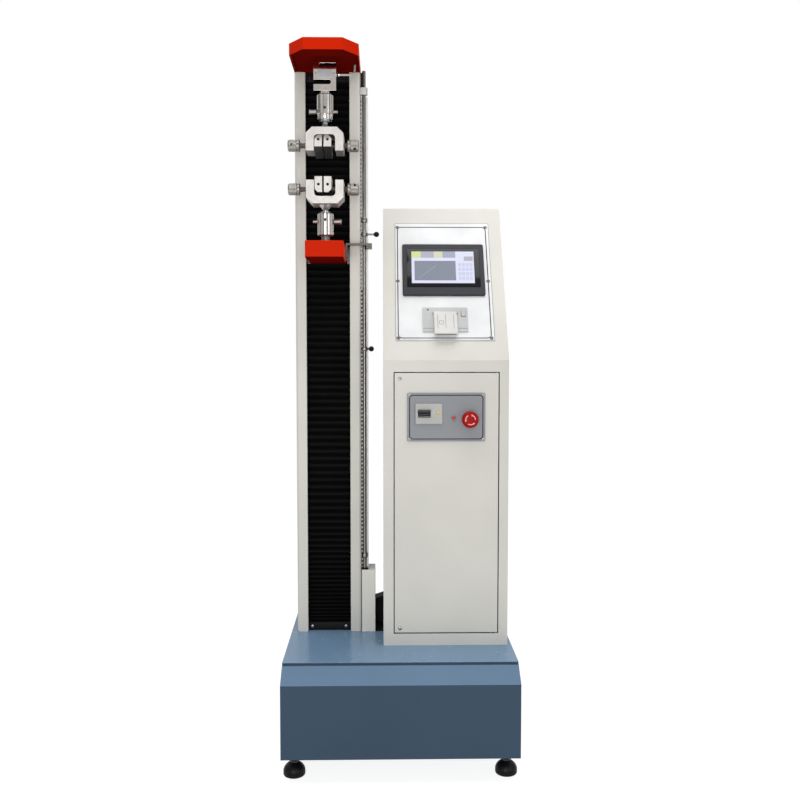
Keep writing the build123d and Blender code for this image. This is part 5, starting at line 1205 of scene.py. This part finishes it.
for third in range(3):
    arrow = bmesh.new()
    band = [arrow.verts.new((radius, 0.0, 0.0)) for radius in ARROW_BAND]
    bar = arrow.edges.new(band)
    bmesh.ops.spin(
        arrow, geom=band + [bar], cent=(0, 0, 0), axis=UP, angle=ARROW_SWEEP, steps=8, use_merge=False
    )
    tip = bmesh.ops.create_circle(arrow, cap_ends=True, cap_tris=False, segments=3, radius=ARROW_TIP)["verts"]
    ahead = Matrix.Rotation(ARROW_TIP_TURN, 4, "Z") @ Matrix.Translation((ARROW_TIP_RADIUS, 0, 0))
    bmesh.ops.transform(arrow, matrix=ahead @ Matrix.Rotation(math.radians(90), 4, "Z"), verts=tip)
    front = Matrix.Translation((head_x, head_low.y + ARROW_SINK, head_z))
    front = front @ Matrix.Rotation(math.radians(90), 4, "X")
    front = front @ Matrix.Rotation(math.radians(120 * third), 4, "Z")
    head_shapes.append((moved(raised(arrow, ARROW_HEIGHT), front), pink_print))
assemble("stop_button_head_piece", "stop_button_head", head_shapes, ["stop_button_head"])

# %% [markdown]
# ## Slanted panel
# The panel, the touch screen and the printer lie on the cabinet's slope. One matrix takes flat
# coordinates there: across from the cabinet's left side, up the slope, and out from its face.

# %% Slope and panel
FOLD_Z = 939.7 * MM
TOP_DEPTH = 143 * MM
slope_way = Vector((0, rear_y - TOP_DEPTH - shell_low.y, shell_high.z - FOLD_Z)).normalized()
slope_out = Vector((0, -slope_way.z, slope_way.y))
slope = Matrix.Translation((shell_low.x, shell_low.y, FOLD_Z)) @ Matrix(
    ((1, 0, 0, 0), (0, slope_way.y, slope_out.y, 0), (0, slope_way.z, slope_out.z, 0), (0, 0, 0, 1))
)


def on_slope(x, y, z):
    """A point given in millimetres on the slope."""
    return slope @ Vector((x * MM, y * MM, z * MM))


PANEL_SHEET = 2
PANEL_SCREWS_X, PANEL_SCREWS_Y = (35.6, 255.5), (58.5, 217.5, 376)
panel_border = line_frame(*outline((34.4, 57.4), (256.6, 377.6)), 2.2 * MM, 10 * MM, 0.15 * MM)
panel_edge = line_frame(*outline((29.4, 52.4), (263.6, 388.6)), 0.9 * MM, 1 * MM, 0.1 * MM)
on_panel = slope @ Matrix.Translation((0, 0, PANEL_SHEET * MM))
panel_parts = [(moved(panel_border, on_panel), engraved), (moved(panel_edge, on_panel), seam_grey)]
for screw_x in PANEL_SCREWS_X:
    for screw_y in PANEL_SCREWS_Y:
        screw_place = on_slope(screw_x, screw_y, PANEL_SHEET)
        panel_parts += dome_screw(screw_place, slope_out, 4.6 * MM, 1.7 * MM, dark_steel)
soften_node("control_panel", "frame", 0.4 * MM, panel_white, 2, panel_parts)

# %% [markdown]
# ## Touch screen
# Screen, frame and keys are thin tiles on a black glass plate. Each colour glows a little, because a
# display gives off its own light.


# %% Screen picture
def lit(name, colour):
    """A display colour: part reflected, part given off."""
    material = new_finish(name, shaded(colour, 0.3), 0.22)
    tint(material, grain(material, 1500.0, 1.0), shaded(colour, 0.26), shaded(colour, 0.34))
    glow(material, colour, 0.62)
    return material


lavender = lit("screen_lavender", srgb(214, 216, 240))
slate = lit("screen_slate", srgb(104, 112, 132))
yellow_cell = lit("screen_yellow", srgb(204, 212, 134))
purple_cell = lit("screen_purple_grey", srgb(162, 162, 178))
beige_cell = lit("screen_beige", srgb(200, 205, 172))
blue_cell = lit("screen_blue_grey", srgb(148, 154, 176))
key_cell = lit("screen_key", srgb(192, 195, 224))
grid_cell = lit("screen_grid", srgb(114, 122, 142))
SCREEN_LEFT, SCREEN_RIGHT, SCREEN_FOOT, SCREEN_HEAD = 69.5, 222.3, 207.5, 299.6
GLASS_TOP = 8.0


def tile(left, foot, right, head, layer, colour):
    """A screen area by its share of the width and the height."""
    wide = SCREEN_RIGHT - SCREEN_LEFT
    tall = SCREEN_HEAD - SCREEN_FOOT
    low = (SCREEN_LEFT + left * wide, SCREEN_FOOT + foot * tall, GLASS_TOP - 0.1)
    high = (SCREEN_LEFT + right * wide, SCREEN_FOOT + head * tall, GLASS_TOP + 0.04 * layer)
    shape = cuboid([place * MM for place in low], [place * MM for place in high])
    return (moved(shape, slope), colour)


picture = [tile(0, 0, 1, 1, 1, lavender), tile(0.045, 0.085, 0.705, 0.70, 2, slate)]
readings = (
    (0.0, 0.15, yellow_cell), (0.15, 0.36, purple_cell), (0.36, 0.5, beige_cell), (0.5, 0.705, blue_cell),
)
for left, right, colour in readings:
    picture.append(tile(left, 0.8, right, 1, 2, colour))
for row in range(4):
    for column in range(4):
        left = 0.745 + column * 0.060
        foot = 0.10 + row * 0.14
        picture.append(tile(left, foot, left + 0.048, foot + 0.11, 2, key_cell))
picture.append(tile(0.84, 0.70, 0.985, 0.84, 2, purple_cell))
for step in range(5):
    picture.append(tile(0.09, 0.18 + step * 0.10, 0.67, 0.183 + step * 0.10, 3, grid_cell))
    picture.append(tile(0.12 + step * 0.12, 0.12, 0.122 + step * 0.12, 0.66, 3, grid_cell))
for step in range(24):
    left = 0.10 + step * 0.012
    foot = 0.14 + 0.017 * step
    picture.append(tile(left, foot, left + 0.013, foot + 0.012, 4, blue_cell))
print("screen picture of", len(picture), "tiles")

# %% Screen housing and glass
pane = cuboid((58.15 * MM, 196.15 * MM, 6.8 * MM), (235.85 * MM, 307.85 * MM, GLASS_TOP * MM), 0.2 * MM)
glass_shapes = [(moved(pane, slope), black_glass), *picture]
assemble("screen_glass_piece", "frame", glass_shapes, ["screen_glass"], even=False)
soften_node("screen_housing", "frame", 1.0 * MM, bezel_plastic, 3)

# %% [markdown]
# ## Printer
# A small panel printer sits under the screen, and its cover swings up on a hinge. A toothed tear bar, a
# feed key and a lamp are what one sees of it, so these are added to the softened copies.

# %% Printer frame
PRINTER_FACE = 5
PRINTER_LAMP = outline((0, 1.0), (1.2, 0.9), (1.9, 0.4), (2.0, -0.5))
printer_lamp = turned(PRINTER_LAMP, on_slope(106.5, 134, PRINTER_FACE), slope_out, 16)
on_printer = slope @ Matrix.Translation((0, 0, PRINTER_FACE * MM))
feed_line = line_frame(*outline((185.4, 115.1), (196.6, 130.9)), 0.7 * MM, 1 * MM, 0.1 * MM)
printer_seam = cuboid((95 * MM, 82.6 * MM, -0.1 * MM), (200 * MM, 83.6 * MM, 0.12 * MM))
printer_parts = [(printer_lamp, flange_black)]
printer_parts += [(moved(shape, on_printer), seam_grey) for shape in (feed_line, printer_seam)]
soften_node("printer_frame", "frame", 0.5 * MM, grey_plastic, 2, printer_parts)

# %% Printer cover with its tear bar, and the feed button
COVER_LEFT, COVER_LIP, COVER_HINGE = 120.25, (69.0, 22.0), (125.5, 9.7)
COVER_RIBS = (8.0, 26.9, 45.8)
TEETH, TOOTH_PITCH, TOOTH_PLACE = 16, 3.0, (125, 59.9, 14.2)
cover_rise = math.atan2(COVER_HINGE[1] - COVER_LIP[1], COVER_HINGE[0] - COVER_LIP[0])
on_cover = slope @ Matrix.Translation((COVER_LEFT * MM, COVER_LIP[0] * MM, COVER_LIP[1] * MM))
on_cover = on_cover @ Matrix.Rotation(cover_rise, 4, "X")
cover_parts = []
for rib_x in COVER_RIBS:
    rib = cuboid((rib_x * MM, 5 * MM, -0.2 * MM), ((rib_x + 0.8) * MM, 50 * MM, 0.3 * MM), 0.15 * MM)
    cover_parts.append((moved(rib, on_cover), seam_grey))
window = line_frame(*outline((12, 18), (22, 30)), 0.8 * MM, 1 * MM, 0.2 * MM)
cover_parts.append((moved(window, on_cover), seam_grey))
# A black strip for the paper slot: painted shade in its opening.
paper_slot_shade = cuboid((125 * MM, 59.7 * MM, 15.4 * MM), (170 * MM, 60.2 * MM, 17.4 * MM))
cover_parts.append((moved(paper_slot_shade, slope), flange_black))
tooth_lay = slope.to_3x3().to_4x4()
for tooth in range(TEETH):
    spike = bmesh.new()
    bmesh.ops.create_cone(
        spike, cap_ends=True, segments=4, radius1=1.5 * MM, radius2=0.2 * MM, depth=1.4 * MM
    )
    place = on_slope(TOOTH_PLACE[0] + tooth * TOOTH_PITCH, *TOOTH_PLACE[1:])
    lay = Matrix.Translation(place) @ tooth_lay @ Matrix.Rotation(math.radians(90), 4, "X")
    cover_parts.append((moved(spike, lay), zinc_plate))
soften_node("printer_cover", "printer_cover", 0.8 * MM, cover_plastic, 3, cover_parts)
soften_node("printer_feed_button", "printer_feed_button", 0.4 * MM, grey_plastic)

# %% [markdown]
# ## Inside the cabinet and the base
# Behind the door a zinc tray holds the motor drive, a power supply and the controller. With the door
# open they are in full view, so they get cooling fins, terminals and a case, all of them bevelled boxes
# placed from a corner of their module. The motor, the belt and the pulleys in the base keep their CAD
# shape with a fitting finish. The mains inlet gets its pins. A thin black mat on the base top between the
# switch box and the cabinet, at the cable duct's foot, is painted shade in that gap.

# %% Tray
TRAY_EDGE, TRAY_SHEET, TRAY_MARGIN = 16 * MM, 2 * MM, 16 * MM
tray_low, tray_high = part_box("drive_electronics")
tray_face = tray_high.y - TRAY_EDGE
module_top = tray_high.z - TRAY_MARGIN
electronics = []


def fit(corner, low, high, finish, edge=0.0):
    """Add a box whose corners are given in millimetres from a corner of its module."""
    places = [[start + reach * MM for start, reach in zip(corner, end)] for end in (low, high)]
    electronics.append((cuboid(*places, edge), finish))


tray_back = (tray_high.x, tray_face + TRAY_SHEET, tray_high.z)
electronics.append((cuboid((tray_low.x, tray_face, tray_low.z), tray_back, 0.4 * MM), zinc_plate))
for left in (tray_low.x, tray_high.x - TRAY_SHEET):
    flange_end = (left + TRAY_SHEET, tray_high.y, tray_high.z)
    electronics.append((cuboid((left, tray_face, tray_low.z), flange_end, 0.4 * MM), zinc_plate))
print("tray of", len(electronics), "sheets")

# %% Motor drive
DRIVE_WIDTH, DRIVE_DEPTH, DRIVE_HEIGHT = 46, 128, 172
drive = (tray_low.x + TRAY_MARGIN, tray_face - DRIVE_DEPTH * MM, module_top - DRIVE_HEIGHT * MM)
fit(drive, (0, 0, 0), (DRIVE_WIDTH, DRIVE_DEPTH, DRIVE_HEIGHT), black_plastic, 1.5 * MM)
for fin in range(14):
    fin_y = 4 + 9 * fin
    fit(drive, (45, fin_y, 0), (62, fin_y + 2, DRIVE_HEIGHT), zinc_plate, 0.4 * MM)
fit(drive, (9, -0.3, DRIVE_HEIGHT - 30), (37, 1, DRIVE_HEIGHT - 16), black_glass, 0.3 * MM)
for key in range(4):
    key_x = 8 + 8 * key
    fit(drive, (key_x, -0.8, DRIVE_HEIGHT - 42), (key_x + 5, 1, DRIVE_HEIGHT - 37), grey_plastic, 0.4 * MM)
for plug in range(5):
    plug_z = 12 + 20 * plug
    fit(drive, (8, -0.9, plug_z), (38, 1, plug_z + 12), board_green, 0.4 * MM)
print("drive added,", len(electronics), "parts so far")

# %% Power supply
SUPPLY_WIDTH, SUPPLY_DEPTH, SUPPLY_HEIGHT = 104, 46, 190
supply_x = tray_high.x - TRAY_MARGIN - SUPPLY_WIDTH * MM
supply = (supply_x, tray_face - SUPPLY_DEPTH * MM, module_top - SUPPLY_HEIGHT * MM)
fit(supply, (0, 0, 0), (SUPPLY_WIDTH, SUPPLY_DEPTH, SUPPLY_HEIGHT), zinc_plate, 0.8 * MM)
# The vents are flat black strips: painted shade in their openings.
for vent in range(12):
    vent_z = 44 + 11 * vent
    fit(supply, (16, -0.1, vent_z), (88, 1, vent_z + 4), flange_black)
fit(supply, (8, -4, 8), (96, 1, 26), black_plastic, 0.6 * MM)
for terminal in range(7):
    screw_place = (supply[0] + (16 + 12 * terminal) * MM, supply[1] - 4 * MM, supply[2] + 17 * MM)
    electronics += dome_screw(screw_place, FRONT, 3.4 * MM, 1.6 * MM)
print("supply added,", len(electronics), "parts so far")

# %% Controller
BOARD_WIDTH, BOARD_DEPTH, BOARD_HEIGHT, BOARD_DROP = 150, 40, 180, 206
BEAD_OUTLINE = outline((0, 1.4), (1.2, 1.1), (1.8, 0), (1.8, -0.5))
board_x = back_middle - BOARD_WIDTH / 2 * MM
board = (board_x, tray_face - BOARD_DEPTH * MM, module_top - BOARD_DROP * MM)
fit(board, (0, 0, -BOARD_HEIGHT), (BOARD_WIDTH, BOARD_DEPTH, 0), grey_plastic, 2 * MM)
for plug_x in (6, 130):
    for row in range(9):
        plug_z = -(26 + 18 * row)
        fit(board, (plug_x, -5, plug_z), (plug_x + 14, 1, plug_z + 15), board_green, 0.5 * MM)
for bead in range(6):
    bead_place = (board[0] + (55 + 8 * bead) * MM, board[1], board[2] - 18 * MM)
    electronics.append((turned(BEAD_OUTLINE, bead_place, FRONT, 12), yellow_plastic))
assemble("drive_electronics_piece", "frame", electronics, ["drive_electronics"])

# %% Drive train and cable fittings
INLET_PINS, INLET_Y = ((15, 351), (29, 351), (22, 358)), (212 * MM, 224 * MM)
dress(turned_steel, "ball_screw", "motor_pulley")
dress(black_plastic, "servo_motor")
dress(rubber, "timing_belt")
# A black mat on the base top in the gap between switch box and cabinet: painted shade.
gap_shade_mat = cuboid(
    (box_high.x + 0.4 * MM, box_low.y + 1 * MM, top_high.z),
    (shell_low.x - 0.4 * MM, box_high.y + 13 * MM, top_high.z + 2 * MM), 0.5 * MM,
)
cable_parts = []
for pin_x, pin_z in INLET_PINS:
    pin_low = ((pin_x - 1) * MM, INLET_Y[0], (pin_z - 2) * MM)
    pin_high = ((pin_x + 1) * MM, INLET_Y[1], (pin_z + 2) * MM)
    cable_parts.append((cuboid(pin_low, pin_high, 0.3 * MM), screw_steel))
cable_parts.append((gap_shade_mat, flange_black))
soften_node("cable_fittings", "frame", 0.8 * MM, flange_black, 2, cable_parts)

# %% [markdown]
# ## Floor
# A product photograph stands on an endless white sheet. A flat grid is enough for it. The camera and
# mirror rays see it nearly white, all other rays meet a dimmer glow, and its grey keeps the machine's
# soft shadow.

# %% Studio floor
FLOOR_WHITE = 0.86
FLOOR_BOUNCE = 0.5
floor_shape = bmesh.new()
bmesh.ops.create_grid(floor_shape, x_segments=1, y_segments=1, size=14.0)
floor_mesh = bpy.data.meshes.new("studio_floor")
floor_shape.to_mesh(floor_mesh)
floor_shape.free()
floor = bpy.data.objects.new("studio_floor", floor_mesh)
bpy.context.scene.collection.objects.link(floor)
floor_finish = new_finish("studio_white", (0.32, 0.32, 0.32, 1.0), 0.9)
floor_mesh.materials.append(floor_finish)
floor_graph = floor_finish.node_tree
floor_rays = add_node(floor_finish, "ShaderNodeLightPath")
floor_seen = FLOOR_BOUNCE
for ray in ("Is Camera Ray", "Is Glossy Ray", "Is Transmission Ray"):
    floor_seen = arithmetic(floor_graph, "MAXIMUM", floor_rays.outputs[ray], floor_seen)
floor_glow = arithmetic(floor_graph, "MULTIPLY", floor_seen, FLOOR_WHITE)
glow(floor_finish, WHITE, FLOOR_WHITE)
join(floor_finish, floor_glow, principled(floor_finish).inputs["Emission Strength"])
print("floor laid")
